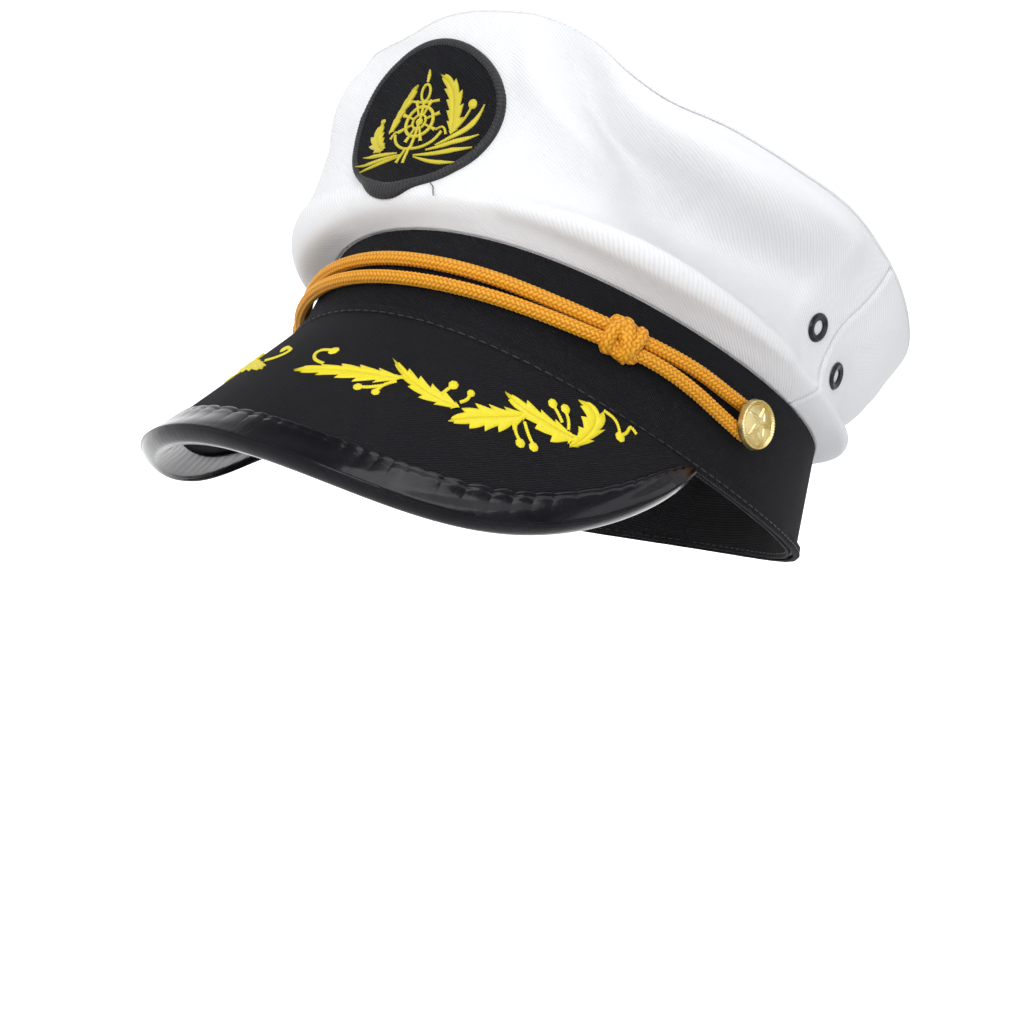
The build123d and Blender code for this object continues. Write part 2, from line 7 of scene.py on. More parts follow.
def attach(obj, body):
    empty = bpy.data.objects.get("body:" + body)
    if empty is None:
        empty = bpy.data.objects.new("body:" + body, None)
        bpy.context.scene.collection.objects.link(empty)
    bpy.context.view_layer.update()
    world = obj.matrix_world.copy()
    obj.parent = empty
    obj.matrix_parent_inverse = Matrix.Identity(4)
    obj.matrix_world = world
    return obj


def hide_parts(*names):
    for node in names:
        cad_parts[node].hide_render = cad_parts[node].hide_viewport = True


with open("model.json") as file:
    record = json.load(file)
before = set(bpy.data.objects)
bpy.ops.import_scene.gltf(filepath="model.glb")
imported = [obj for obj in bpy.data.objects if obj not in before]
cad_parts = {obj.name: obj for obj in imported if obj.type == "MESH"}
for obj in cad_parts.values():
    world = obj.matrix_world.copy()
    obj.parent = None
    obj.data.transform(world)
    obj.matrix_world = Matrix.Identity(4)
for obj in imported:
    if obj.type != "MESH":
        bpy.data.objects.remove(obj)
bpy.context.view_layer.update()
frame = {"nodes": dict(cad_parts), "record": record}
cadNodes = frame["nodes"]
millimetre = 0.001
rng = np.random.default_rng(7)


# shapes are worked out in millimetres until a mesh is made
def smooth(low, high, value):
    t = np.clip((value - low) / (high - low), 0.0, 1.0)
    return t * t * (3.0 - 2.0 * t)


def unit(vectors):
    return vectors / np.maximum(np.linalg.norm(vectors, axis=-1, keepdims=True), 1e-9)


def splineThrough(values, u):
    # natural cubic through evenly spaced values, u from 0 to 1
    values, u = np.array(values, float), np.asarray(u, float)
    count = len(values) - 1
    matrix, right = np.eye(count + 1), np.zeros_like(values)
    for i in range(1, count):
        matrix[i, i - 1:i + 2] = (1, 4, 1)
        right[i] = 6 * (values[i - 1] - 2 * values[i] + values[i + 1])
    bend = np.linalg.solve(matrix, right)
    i = np.clip((u * count).astype(int), 0, count - 1)
    x = u * count - i
    if values.ndim > 1:
        x = x[..., None]
    near, far = values[i], values[i + 1]
    curve = bend[i] * x**2 / 2 + (bend[i + 1] - bend[i]) * x**3 / 6
    return near + x * (far - near - (2 * bend[i] + bend[i + 1]) / 6) + curve


def tableValue(table, where):
    # smooth curve through (place, value) pairs
    places, values = np.array(table, float).T
    i = np.clip(np.searchsorted(places, where) - 1, 0, len(places) - 2)
    gap = places[i + 1] - places[i]
    t = np.clip((where - places[i]) / gap, 0, 1)
    slope = np.gradient(values, places)
    t2, t3 = t * t, t * t * t
    ends = (2 * t3 - 3 * t2 + 1) * values[i] + (3 * t2 - 2 * t3) * values[i + 1]
    return ends + gap * ((t3 - 2 * t2 + t) * slope[i] + (t3 - t2) * slope[i + 1])


def evenPoints(points, count=None, step=None):
    # the same line with evenly spaced points
    points = np.array(points, float)
    run = np.concatenate([[0], np.cumsum(np.linalg.norm(np.diff(points, axis=0), axis=1))])
    count = count or max(2, int(round(run[-1] / step)) + 1)
    at = np.linspace(0, run[-1], count)
    return np.stack([np.interp(at, run, points[:, k]) for k in range(points.shape[1])], -1)


def softLine(points, count):
    # smooth line through given points
    dense = splineThrough(points, np.linspace(0, 1, 12 * len(points)))
    return evenPoints(dense, count)


def addMesh(name, points, faces, uv=None, reliefShade=None):
    mesh = bpy.data.meshes.new(name)
    mesh.from_pydata((np.asarray(points, float).reshape(-1, 3) * millimetre).tolist(), [], faces)
    if uv is not None:
        layer = mesh.uv_layers.new(name="cloth")
        corners = np.empty(len(mesh.loops), np.int32)
        mesh.loops.foreach_get("vertex_index", corners)
        layer.data.foreach_set("uv", np.asarray(uv, np.float32).reshape(-1, 2)[corners].ravel())
    # per-point thread height, which the thread finishes turn into painted shade in the hollows
    if reliefShade is not None:
        heights = mesh.attributes.new("reliefShade", "FLOAT", "POINT")
        heights.data.foreach_set("value", np.asarray(reliefShade, np.float32).ravel())
    mesh.polygons.foreach_set("use_smooth", [True] * len(mesh.polygons))
    mesh.update()
    piece = bpy.data.objects.new(name, mesh)
    bpy.context.scene.collection.objects.link(piece)
    return piece


def gridFaces(rows, columns, closeRows=False, closeColumns=False):
    i = np.arange(rows if closeRows else rows - 1)
    j = np.arange(columns if closeColumns else columns - 1)
    a, b = np.meshgrid(i, j, indexing="ij")
    a2, b2 = (a + 1) % rows, (b + 1) % columns
    quads = [a * columns + b, a2 * columns + b, a2 * columns + b2, a * columns + b2]
    return np.stack(quads, -1).reshape(-1, 4).tolist()


def addGrid(name, points, uv=None, reliefShade=None, close=(False, False), thickness=0.0, flip=False):
    faces = gridFaces(*points.shape[:2], *close)
    if flip:
        faces = [face[::-1] for face in faces]
    piece = addMesh(name, points, faces, uv, reliefShade)
    if thickness:
        wall = piece.modifiers.new("thickness", "SOLIDIFY")
        wall.thickness = thickness * millimetre
        wall.offset = -1.0
        wall.use_even_offset = True
    return piece


class Parts:
    # several small grids that become one piece
    def __init__(self):
        self.points, self.faces, self.reliefShade, self.count = [], [], [], 0

    def add(self, points, reliefShade=None, close=(False, False), flip=False):
        faces = np.array(gridFaces(*points.shape[:2], *close)) + self.count
        if flip:
            faces = faces[:, ::-1]
        flat = points.reshape(-1, 3)
        self.points.append(flat)
        self.faces += faces.tolist()
        self.reliefShade.append(np.ones(len(flat)) if reliefShade is None else np.asarray(reliefShade).ravel())
        self.count += len(flat)

    def build(self, name):
        return addMesh(name, np.concatenate(self.points), self.faces, None, np.concatenate(self.reliefShade))


# materials: one wrapper for sums on sockets, one method for every other node
class Value:
    def __init__(self, finish, socket):
        self.finish, self.socket = finish, socket

    def math(self, operation, first, second=0.0):
        return self.finish.node("Math", {"operation": operation}, {0: first, 1: second})

    def __add__(self, other):
        return self.math("ADD", self, other)

    def __sub__(self, other):
        return self.math("SUBTRACT", self, other)

    def __mul__(self, other):
        return self.math("MULTIPLY", self, other)

    def __rsub__(self, other):
        return self.math("SUBTRACT", other, self)

    __radd__ = __add__
    __rmul__ = __mul__

    def wave(self):
        # from 0 to 1 and back once for each unit
        return self.math("SINE", self * 6.28319) * 0.5 + 0.5

    def between(self, low, high):
        settings = {"interpolation_type": "SMOOTHSTEP"}
        return self.finish.node("MapRange", settings, {0: self, 1: low, 2: high})


class Finish:
    def __init__(self, name, uniform):
        self.material = bpy.data.materials.new(name)
        self.material.use_nodes = True
        self.tree = self.material.node_tree
        self.shader = self.tree.nodes["Principled BSDF"]
        for label, value in uniform.items():
            self.feed(self.shader.inputs[label], value)

    def feed(self, socket, value):
        if isinstance(value, Value):
            self.tree.links.new(value.socket, socket)
        elif isinstance(value, tuple) and len(value) == 3 and socket.type == "RGBA":
            socket.default_value = (*value, 1.0)
        else:
            socket.default_value = value

    def node(self, kind, settings=None, values=None, output=0):
        made = self.tree.nodes.new("ShaderNode" + kind)
        for key, value in (settings or {}).items():
            setattr(made, key, value)
        for key, value in (values or {}).items():
            self.feed(made.inputs[key], value)
        return Value(self, made.outputs[output])

    def mix(self, share, first, second):
        settings = {"data_type": "RGBA"}
        return self.node("Mix", settings, {0: share, 6: first, 7: second}, 2)

    def clothPlace(self):
        # millimetres across and along the cloth
        across = self.node("SeparateXYZ", {}, {0: self.node("UVMap", {"uv_map": "cloth"})})
        return across, Value(self, across.socket.node.outputs[1])

    def noise(self, scale, detail=2.0, place=None):
        place = place or self.node("TexCoord", {}, {}, 3)
        return self.node("TexNoise", {}, {"Vector": place, "Scale": scale, "Detail": detail})

    def reliefShade(self):
        # reads the per-point thread height that drives painted shade
        return self.node("Attribute", {"attribute_name": "reliefShade"}, {}, 2)

    def surface(self, colour=None, roughness=None, height=None, depth=0.0001, metallic=None):
        feeds = {"Base Color": colour, "Roughness": roughness, "Metallic": metallic}
        for label, value in feeds.items():
            if value is not None:
                self.feed(self.shader.inputs[label], value)
        if height is not None:
            bump = self.node("Bump", {}, {"Height": height, "Distance": depth})
            self.feed(self.shader.inputs["Normal"], bump)
        return self.material


def twillFinish(name, light, groove, pitch, slant, depth, roughness, sheen, lint=0.0):
    finish = Finish(name, {"Sheen Weight": sheen, "Sheen Roughness": 0.5, "Specular IOR Level": 0.12})
    across, along = finish.clothPlace()
    waver = finish.noise(60.0, 1.0) * 0.16
    c, s = np.cos(np.radians(slant)), np.sin(np.radians(slant))
    rib = (across * (-s / pitch) + along * (c / pitch) + waver).wave()
    cross = (across * (c / pitch * 1.3) + along * (s / pitch * 1.3) + rib * 0.25).wave()
    height = rib * 0.8 + rib * cross * 0.35
    patchy = finish.noise(28.0, 3.0).between(0.3, 0.72)
    # painted shade: the weave's low grooves get the darker groove colour, the ribs the light one
    colour = finish.mix(height.between(0.05, 0.75), groove, light)
    worn = tuple(c * 0.94 for c in light)
    colour = finish.mix(patchy * 0.35, colour, worn)
    if lint:
        specks = finish.noise(2100.0, 1.0).between(0.70, 0.78)
        colour = finish.mix(specks * lint, colour, (0.35, 0.35, 0.37))
    rough = height * 0.06 + roughness
    return finish.surface(colour, rough, height, depth)


def threadFinish(name, light, dark, roughness, sheen, streak):
    finish = Finish(name, {"Sheen Weight": sheen, "Sheen Roughness": 0.35, "Specular IOR Level": 0.45})
    reliefShade = finish.reliefShade()
    fibre = finish.noise(streak, 3.0)
    # painted shade: low relief gets the dark colour, shading the hollows between threads and strands
    shade = (reliefShade * 0.85 + fibre * 0.3).between(0.05, 0.95)
    colour = finish.mix(shade, dark, light)
    return finish.surface(colour, 0.9 - shade * (0.9 - roughness), fibre, 0.00008)


def metalFinish(name, light, dark, roughness, metallic, depth):
    finish = Finish(name, {"Specular IOR Level": 0.5})
    cloudy = finish.noise(260.0, 4.0)
    scratch = finish.noise(1500.0, 2.0)
    colour = finish.mix(cloudy.between(0.35, 0.7), dark, light)
    rough = cloudy * 0.18 + scratch * 0.08 + roughness
    return finish.surface(colour, rough, scratch, depth, metallic)


def weaveFinish(name, light, dark, pitch, roughness, depth):
    finish = Finish(name, {"Specular IOR Level": 0.08})
    across, along = finish.clothPlace()
    weave = (across * (1 / pitch)).wave() * (along * (1 / pitch) + 0.25).wave()
    cloudy = finish.noise(60.0, 3.0)
    colour = finish.mix((weave + cloudy * 0.5).between(0.1, 1.1), dark, light)
    return finish.surface(colour, 0.08 * weave + roughness, weave, depth)


def sheetFinish(name, light, dark, roughness, coat):
    gloss = {"Coat Weight": coat, "Coat Roughness": 0.08, "Coat IOR": 1.25, "Specular IOR Level": 0.1}
    finish = Finish(name, gloss)
    pebble = finish.noise(420.0, 3.0)
    cloudy = finish.noise(45.0, 2.0)
    colour = finish.mix(cloudy.between(0.3, 0.7), dark, light)
    return finish.surface(colour, cloudy * 0.12 + roughness, pebble * 0.3 + cloudy, 0.0004)


finishes = {
    # each twill's second colour is painted shade for its grooves
    "white_twill": twillFinish(
        "whiteTwill", (0.87, 0.875, 0.89), (0.79, 0.80, 0.825), 0.85, -32.0, 0.00008, 0.85, 0.15
    ),
    "black_twill": twillFinish(
        "blackTwill", (0.015, 0.015, 0.018), (0.004, 0.004, 0.005), 0.70, -35.0, 0.00016, 0.80, 0.0, 0.08
    ),
    # each thread finish's second colour is painted shade for the hollows between threads
    "golden_cord": threadFinish("goldenCord", (0.88, 0.39, 0.008), (0.40, 0.12, 0.002), 0.42, 0.2, 2600.0),
    "lemon_thread": threadFinish("lemonThread", (0.86, 0.73, 0.012), (0.30, 0.22, 0.0), 0.42, 0.25, 2600.0),
    "gold_thread": threadFinish("goldThread", (0.66, 0.56, 0.03), (0.22, 0.17, 0.005), 0.42, 0.2, 2600.0),
    "black_thread": threadFinish("blackThread", (0.022, 0.022, 0.024), (0.004, 0.004, 0.004), 0.6, 0.2, 2200.0),
    "patent_black": sheetFinish("patentBlack", (0.007, 0.007, 0.010), (0.003, 0.003, 0.005), 0.16, 0.55),
    "gilt_metal": metalFinish("giltMetal", (0.86, 0.72, 0.36), (0.62, 0.46, 0.16), 0.20, 1.0, 0.00002),
    "plain_metal": metalFinish("plainMetal", (0.55, 0.52, 0.45), (0.35, 0.33, 0.28), 0.35, 1.0, 0.00003),
    "black_metal": metalFinish("blackMetal", (0.055, 0.055, 0.06), (0.02, 0.02, 0.022), 0.28, 0.7, 0.00003),
    "band_board": sheetFinish("bandBoard", (0.05, 0.05, 0.05), (0.03, 0.03, 0.03), 0.5, 0.0),
    "visor_board": sheetFinish("visorBoard", (0.04, 0.04, 0.04), (0.025, 0.025, 0.025), 0.45, 0.0),
    "buckram": weaveFinish("buckram", (0.72, 0.71, 0.66), (0.45, 0.44, 0.40), 1.6, 0.7, 0.0003),
    "seam_tape": weaveFinish("seamTape", (0.78, 0.78, 0.78), (0.55, 0.55, 0.55), 0.8, 0.85, 0.0001),
    "sweatband_tape": weaveFinish(
        "sweatbandTape", (0.03, 0.03, 0.032), (0.012, 0.012, 0.013), 1.1, 0.75, 0.0002
    ),
    "black_lining": weaveFinish(
        "blackLining", (0.022, 0.022, 0.024), (0.008, 0.008, 0.009), 0.7, 0.8, 0.0001
    ),
}
bodyOf = {name: body for body, names in frame["record"]["behaviour"]["bodies"].items() for name in names}


def fit(piece, slotName, body, *replaced):
    # finish, body and the CAD nodes that this piece stands for
    piece.data.materials.append(finishes[slotName])
    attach(piece, body)
    if replaced:
        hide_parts(*replaced)
    return piece


print("helpers and finishes ready")

# band: an oval that leans inwards as it rises, with arched edges
band = {
    "halfLength": 103.0, "halfWidth": 89.3, "leanLength": 0.119, "leanWidth": 0.079, "drop": 15.0,
    "front": 34.3, "topDrop": 8.8, "topRise": 2.1, "hem": 3.8, "hemRise": 1.5,
    "stitch": 2.6, "stitchGap": 0.9, "perDegree": 1.68,
}


def bandPoint(angle, z, out=0.0):
    a = np.radians(angle)
    x = (band["halfWidth"] - band["leanWidth"] * z + out) * np.sin(a)
    y = -(band["halfLength"] - band["leanLength"] * z + out) * np.cos(a)
    return np.stack(np.broadcast_arrays(x, y, z + 0.0 * a), -1)


def bandNormal(angle):
    a = np.radians(angle)
    return unit(np.stack([np.sin(a) / band["halfWidth"], -np.cos(a) / band["halfLength"], 0 * a], -1))


def lowerEdge(x):
    return -band["drop"] * (x / band["halfWidth"]) ** 2


def upperEdge(x, y):
    rise = band["topRise"] * y / band["halfLength"]
    return band["front"] + rise - band["topDrop"] * (x / band["halfWidth"]) ** 2


def bandEdges(angle):
    x = band["halfWidth"] * np.sin(np.radians(angle))
    rim = bandPoint(angle, band["front"] + 0.0 * np.asarray(angle, float))
    return lowerEdge(x), upperEdge(rim[..., 0], rim[..., 1])


# crown: the wall's section in shares of its height and flare, and its roll over the band
crown = {
    "seamHalfLength": 116.0, "seamHalfWidth": 108.0, "seamCentreY": 3.0, "seamHeight": 88.6,
    "seamFall": 0.097, "seamDrop": 10.3, "roll": 7.0, "sideSeam": 92.5, "cloth": 1.0,
    "seamGroove": 0.38, "foldGain": 1.3, "perDegree": 1.85, "wallHeight": 62.0, "sag": (
        (-180, 0), (-130, -1), (-100, -4), (-75, -2), (-55, 0), (-33, 1.5), (-20, -1.0), (-11, -3.2),
        (0, 0), (14, 0.5), (24, 0), (30, -3.0), (36, -8.5), (42, -11.5), (54, -9.0), (66, -6.0), (78, -2.0),
        (90, -1.5), (110, -3.5), (130, -1.0), (180, 0),
    ),
}
wallStations = np.array([
    (0, 0, 0), (0.1, 0.05, 1), (0.22, 0.15, 0.62), (0.5, 0.36, 0.28), (0.72, 0.68, 0.17), (1, 1, 0),
])
# folds of the wall: height, width across, then points (angle, share up the wall)
folds = (
    (4.2, 7.0, ((12, 0.99), (18, 0.88), (24, 0.79), (31, 0.69), (39, 0.60))),
    (-9.0, 8.0, ((22, 0.95), (28, 0.87), (35, 0.79), (43, 0.71), (53, 0.645))),
    (-7.5, 6.5, ((27, 0.48), (34, 0.50), (44, 0.52), (56, 0.545), (68, 0.57), (77, 0.60))),
    (4.4, 6.5, ((25, 0.25), (38, 0.265), (51, 0.275), (64, 0.28), (80, 0.29))),
    (8.5, 8.5, ((35, 0.97), (45, 0.88), (57, 0.85), (68, 0.86), (80, 0.90))),
    (1.2, 12.0, ((52, 0.72), (64, 0.72), (76, 0.72))),
    (-3.0, 8.0, ((-30, 0.95), (-36, 0.80), (-44, 0.66), (-52, 0.58))),
    (3.0, 8.0, ((-23, 0.96), (-27, 0.80), (-31, 0.66))),
    (-3.2, 7.0, ((-62, 0.88), (-72, 0.74), (-84, 0.68))),
    (2.5, 10.0, ((-80, 0.45), (-100, 0.50), (-116, 0.46))),
    (-3.0, 8.0, ((-104, 0.80), (-118, 0.66), (-134, 0.60))),
    (3.0, 12.0, ((104, 0.80), (116, 0.62), (128, 0.50))),
    (-2.6, 7.0, ((108, 0.52), (120, 0.40), (134, 0.36))),
    (3.4, 10.0, ((138, 0.84), (150, 0.66), (160, 0.52))),
    (-3.4, 8.0, ((150, 0.90), (162, 0.74), (172, 0.66))),
    (3.0, 12.0, ((-138, 0.80), (-152, 0.62), (-166, 0.54))),
    (-2.4, 7.0, ((-146, 0.48), (-160, 0.40), (-172, 0.38))),
    (1.6, 6.0, ((110, 0.22), (128, 0.26), (146, 0.22))),
)
# broad bellies, which lift the badge with them
bellies = (
    (10.5, 36.0, ((-12, 0.22), (-32, 0.32), (-48, 0.44), (-62, 0.52))),
    (-1.5, 20.0, ((10, 0.5), (14, 0.6), (16, 0.7))),
)
# round the eyelets: angle, share up the wall, still radius and the fade past it
calmSpots = [(side * a, s, 7.5, 6.0) for side in (1, -1) for a, s in ((86.5, 0.545), (98.5, 0.46))]
ripples = [
    (rng.uniform(0.02, 0.09) * side, rng.uniform(2.0, 9.0), rng.uniform(0, 6.28), rng.uniform(0.10, 0.26))
    for side in (1, -1) * 7
]


def onWall(angle, share):
    # millimetres round and up the wall
    return angle * crown["perDegree"], share * crown["wallHeight"]


def waves(x, y, ridges):
    # soft ridges and valleys along lines
    total = np.zeros(x.shape)
    for height, width, points in ridges:
        line = softLine([onWall(a, s) for a, s in points], 14)
        near, where = np.full(total.shape, 1e9), np.zeros(total.shape)
        for i, ((px, py), (dx, dy)) in enumerate(zip(line[:-1], np.diff(line, axis=0))):
            f = np.clip(((x - px) * dx + (y - py) * dy) / (dx * dx + dy * dy), 0, 1)
            reach = np.hypot(x - px - f * dx, y - py - f * dy)
            closer = reach < near
            near, where = np.where(closer, reach, near), np.where(closer, (i + f) / 13, where)
        taper = 0.35 + 0.65 * np.sin(np.pi * where)
        total = total + height * taper * np.exp(-((near / width) ** 2))
    return total


def foldHeight(angle, share):
    # how far the cloth stands off its plain surface
    x, y = onWall(angle, share)
    total = crown["foldGain"] * waves(x, y, folds)
    for across, up, shift, size in ripples:
        total = total + size * np.sin(x * across + share * up + shift)
    # the badge keeps the front flat, and the eyelets their ring of cloth
    window = smooth(15.5, 22.0, np.abs(angle)) + smooth(0.10, 0.02, share)
    total = total * np.clip(window, 0.0, 1.0)
    total = total * smooth(0.0, 0.14, share) + waves(x, y, bellies) * smooth(-0.04, 0.16, share)
    for a, s, reach, fade in calmSpots:
        spotX, spotY = onWall(a, s)
        off = np.hypot(x - spotX, y - spotY)
        total = total * smooth(reach, reach + fade, off)
    return total * (0.25 + 0.75 * smooth(1.02, 0.90, share))


def crownPlain(angle, share):
    angle, share = np.broadcast_arrays(np.asarray(angle, float), np.asarray(share, float))
    foot = bandPoint(angle, bandEdges(angle)[1])
    out = bandNormal(angle)
    wide, long = crown["seamHalfWidth"], crown["seamHalfLength"]
    px, py = foot[..., 0] / wide, (foot[..., 1] - crown["seamCentreY"]) / long
    dx, dy = out[..., 0] / wide, out[..., 1] / long
    a, b, c = dx * dx + dy * dy, px * dx + py * dy, px * px + py * py - 1
    flare = (-b + np.sqrt(b * b - a * c)) / a
    seam = foot + out * flare[..., None]
    fall = crown["seamFall"] * seam[..., 1]
    top = crown["seamHeight"] - fall - crown["seamDrop"] * (seam[..., 0] / wide) ** 2
    stations = splineThrough(wallStations, share)
    away = stations[..., 1] * flare + stations[..., 2] * crown["roll"]
    up = stations[..., 0] * (top - foot[..., 2] - 0.2) + 0.1
    return foot + out * away[..., None] + up[..., None] * np.array([0, 0, 1.0])


def crownPoint(angle, share, lift=0.0):
    angle = (np.asarray(angle, float) + 180) % 360 - 180
    angle, share = np.broadcast_arrays(angle, np.asarray(share, float))
    step = 0.004
    low, high = np.clip(share - step, 0, 1), np.clip(share + step, 0, 1)
    up = unit(crownPlain(angle, high) - crownPlain(angle, low))
    along = unit(crownPlain(angle + 0.2, share) - crownPlain(angle - 0.2, share))
    square = np.cross(along, up)
    off = foldHeight(angle, share) + lift
    point = crownPlain(angle, share) + square * off[..., None]
    badgeSide = np.where(np.abs(angle) < 17, 0.93, 0.45)
    drop = tableValue(crown["sag"], angle) * smooth(badgeSide, 1.0, share)
    point[..., 2] += drop
    # where the seam hangs low, the cloth under it bellies out
    belly = np.clip(-drop, 0, 20) * 0.25 * smooth(1.0, 0.86, share)
    return point + bandNormal(angle) * belly[..., None]


def edgeSpacing(start, end, step, fine=(0, 0.35, 0.8, 1.3, 2.0, 3.0)):
    # evenly spaced, with closer lines beside both ends
    middle = np.arange(start + fine[-1] + step, end - fine[-1] - step / 2, step)
    return np.concatenate([[start + f for f in fine], middle, [end - f for f in reversed(fine)]])


def seamRoll(distance):
    # cloth turned in along a seam, in millimetres from it
    groove = crown["seamGroove"] * np.exp(-((distance / 0.75) ** 2))
    return 0.28 * np.exp(-(((distance - 2.2) / 1.3) ** 2)) - groove


def wallPiece(name, start, end, node):
    angles = edgeSpacing(start, end, 0.62, (0, 0.2, 0.45, 0.75, 1.15, 1.7))
    shares = np.concatenate([np.linspace(0, 0.955, 66), 1 - np.array([2.2, 1.6, 1.1, 0.7, 0.35, 0]) / 62])
    a, s = np.meshgrid(angles, shares, indexing="ij")
    off = seamRoll((a - start) * crown["perDegree"]) + seamRoll((end - a) * crown["perDegree"])
    off = off + 0.25 * seamRoll((1 - s) * crown["wallHeight"])
    points = crownPoint(a, s, off)
    plain = crownPlain(a, s)
    run = np.cumsum(np.linalg.norm(np.diff(plain, axis=1, prepend=plain[:, :1]), axis=2), axis=1)
    uv = np.stack([a * crown["perDegree"], run], -1)
    piece = addGrid(name, points, uv, thickness=0.8)
    fit(piece, "white_twill", "cap", node)
    return points


sideSeam = crown["sideSeam"]
# angles, CAD node, flat size and flat area in metres
wallSize = {
    "crownFrontPanel": (-sideSeam + 0.02, sideSeam - 0.02, "crown_front_panel", (0.34, 0.085), 0.0232),
    "crownRearLeftPanel": (sideSeam + 0.02, 179.97, "crown_rear_left_panel", (0.155, 0.07), 0.0087),
    "crownRearRightPanel": (-179.97, -sideSeam - 0.02, "crown_rear_right_panel", (0.155, 0.07), 0.0087),
}
for name, (start, end, node, flatSize, area) in wallSize.items():
    wallPiece(name, start, end, node)

topPanel = {"rings": 46, "spokes": 240, "lift": 0.0, "sink": 3.0}


def topPoints():
    spokes = np.linspace(-180, 180, topPanel["spokes"], endpoint=False)
    inner = np.linspace(0.03, 0.965, topPanel["rings"])
    share = np.concatenate([[0.004], inner, [0.98, 0.99, 0.996, 1.0]])
    r, a = np.meshgrid(share, spokes, indexing="ij")
    rim = crownPoint(spokes, np.ones_like(spokes))
    centre = np.array([0.0, crown["seamCentreY"], 0.0])
    point = centre + (rim[None] - centre) * r[..., None]
    x, y = point[..., 0], point[..., 1]
    plain = crown["seamHeight"] - crown["seamFall"] * y
    plain = plain - crown["seamDrop"] * (x / crown["seamHalfWidth"]) ** 2
    drop = tableValue(crown["sag"], spokes)[None]
    hang = topPanel["sink"] * (1 - r**2) ** 1.2
    dents = np.zeros_like(r)
    for angle, reach, depth, width in (
        (42, 0.62, -4.5, 0.26), (-150, 0.45, -3.0, 0.34), (120, 0.62, 2.4, 0.30), (-60, 0.55, 2.6, 0.30),
        (8, 0.66, 3.0, 0.22), (-100, 0.72, -2.4, 0.22), (170, 0.7, 2.0, 0.26), (70, 0.35, 2.2, 0.24),
    ):
        px, py = reach * np.sin(np.radians(angle)), -reach * np.cos(np.radians(angle))
        off = np.hypot(r * np.sin(np.radians(a)) - px, -r * np.cos(np.radians(a)) - py)
        dents = dents + depth * np.exp(-((off / width) ** 2))
    turn = np.radians(a)
    wave = 0.5 * np.sin(turn * 9 + 4 * r) * r**2 + 0.35 * np.sin(turn * 17 - 6 * r) * r**3
    edge = smooth(1.0, 0.9, r)
    z = plain + topPanel["lift"] + drop * r**2.2 - hang + (dents + wave) * edge
    inset = (1 - r) * crown["seamHalfWidth"]
    seam = 0.10 * np.exp(-(((inset - 2.2) / 1.3) ** 2)) - 0.12 * np.exp(-((inset / 0.8) ** 2))
    point[..., 2] = z + seam
    return point


points = topPoints()
x, y = points[..., 0], points[..., 1]
uv = np.stack([x * 0.87 + y * 0.5, y * 0.87 - x * 0.5], -1)
piece = addGrid("crownTopPanel", points, uv, close=(False, True), thickness=0.8, flip=True)
fit(piece, "white_twill", "cap", "crown_top_panel")


# stitches: small slanted grains of thread laid along a line
def stitchLine(parts, points, normals, long, gap, radius, lean=0.0):
    line = evenPoints(np.concatenate([points, normals], 1), step=0.5)
    run = np.arange(len(line)) * 0.5
    middle = np.arange(long, run[-1] - long, long + gap)
    around = np.linspace(0, 2 * np.pi, 7)[:-1]
    for at in middle:
        k = int(at / 0.5)
        here, square = line[k, :3], unit(line[k, 3:])
        ahead = unit(line[min(k + 2, len(line) - 1), :3] - line[max(k - 2, 0), :3])
        side = unit(np.cross(square, ahead))
        ahead = unit(ahead + side * lean)
        side = np.cross(square, ahead)
        along = np.array([-1.0, -0.8, -0.35, 0.35, 0.8, 1.0])
        girth = np.array([0.05, 0.7, 1.0, 1.0, 0.7, 0.05])
        ringPoints = [
            here + ahead * (u * long / 2) + (side * np.cos(t) + square * np.sin(t)) * radius * w
            - square * radius * 0.35 * u * u
            for u, w in zip(along, girth) for t in around
        ]
        parts.add(np.array(ringPoints).reshape(6, 6, 3), close=(False, True), flip=True)


seamStitches = Parts()
for seamAngle in (sideSeam, -sideSeam, 180.0):
    for offset in (-1.25, 1.25):
        shares = np.linspace(0.05, 0.96, 50)
        angle = seamAngle + offset + 0 * shares
        stitchLine(
            seamStitches, crownPoint(angle, shares, 0.12), bandNormal(angle), 2.3, 0.8, 0.22
        )
fit(seamStitches.build("crownStitches"), "white_twill", "cap")
print("crown ready")

# hatband cover: turned hem above the visor, with a row of stitches
angles = np.linspace(-180, 180, 361)[:-1]
low, high = bandEdges(angles)
heights = [(0, 0.2, -0.6), (0, 0.1, 0.4), (0, 0.25, 1.1), (0, 0.75, band["hemRise"])]
heights += [(0, h, band["hemRise"]) for h in (1.4, 2.4, band["hem"] - 0.5)]
heights += [(0, band["hem"] - 0.1, band["hemRise"] * 0.62)]
heights += [(0, band["hem"] + 0.35, 0.1), (0, band["hem"] + 1.0, 0.0)]
inner = [(t, 0.0, 0.0) for t in np.linspace(0.16, 0.90, 16)]
heights += inner + [(0.955, 0.0, 0.05), (0.985, 0.0, 0.0), (1.0, 0.0, -0.5), (1.0, 0.0, -1.2)]
rows = []
for share, up, out in heights:
    z = low + up + share * (high - low) if share else low + up
    waver = 0.10 * np.sin(np.radians(angles) * 41) * np.sin(np.radians(angles) * 7 + 1) * (out > 0.2)
    rows.append(bandPoint(angles, z, out + waver))
points = np.stack(rows, 1)
run = np.cumsum(np.linalg.norm(np.diff(points, axis=1, prepend=points[:, :1]), axis=2), axis=1)
closed = np.concatenate([points, points[:1]], 0)
run = np.append(run, run[:1], 0)
uv = np.stack([np.append(angles, 180.0)[:, None] * band["perDegree"] + 0 * run, run], -1)
piece = addGrid("hatbandCover", closed, uv, thickness=0.6)
fit(piece, "black_twill", "cap", "hatband_cover")
bandStitches = Parts()
around = np.linspace(-179.5, 179.5, 500)
lows = bandEdges(around)[0]
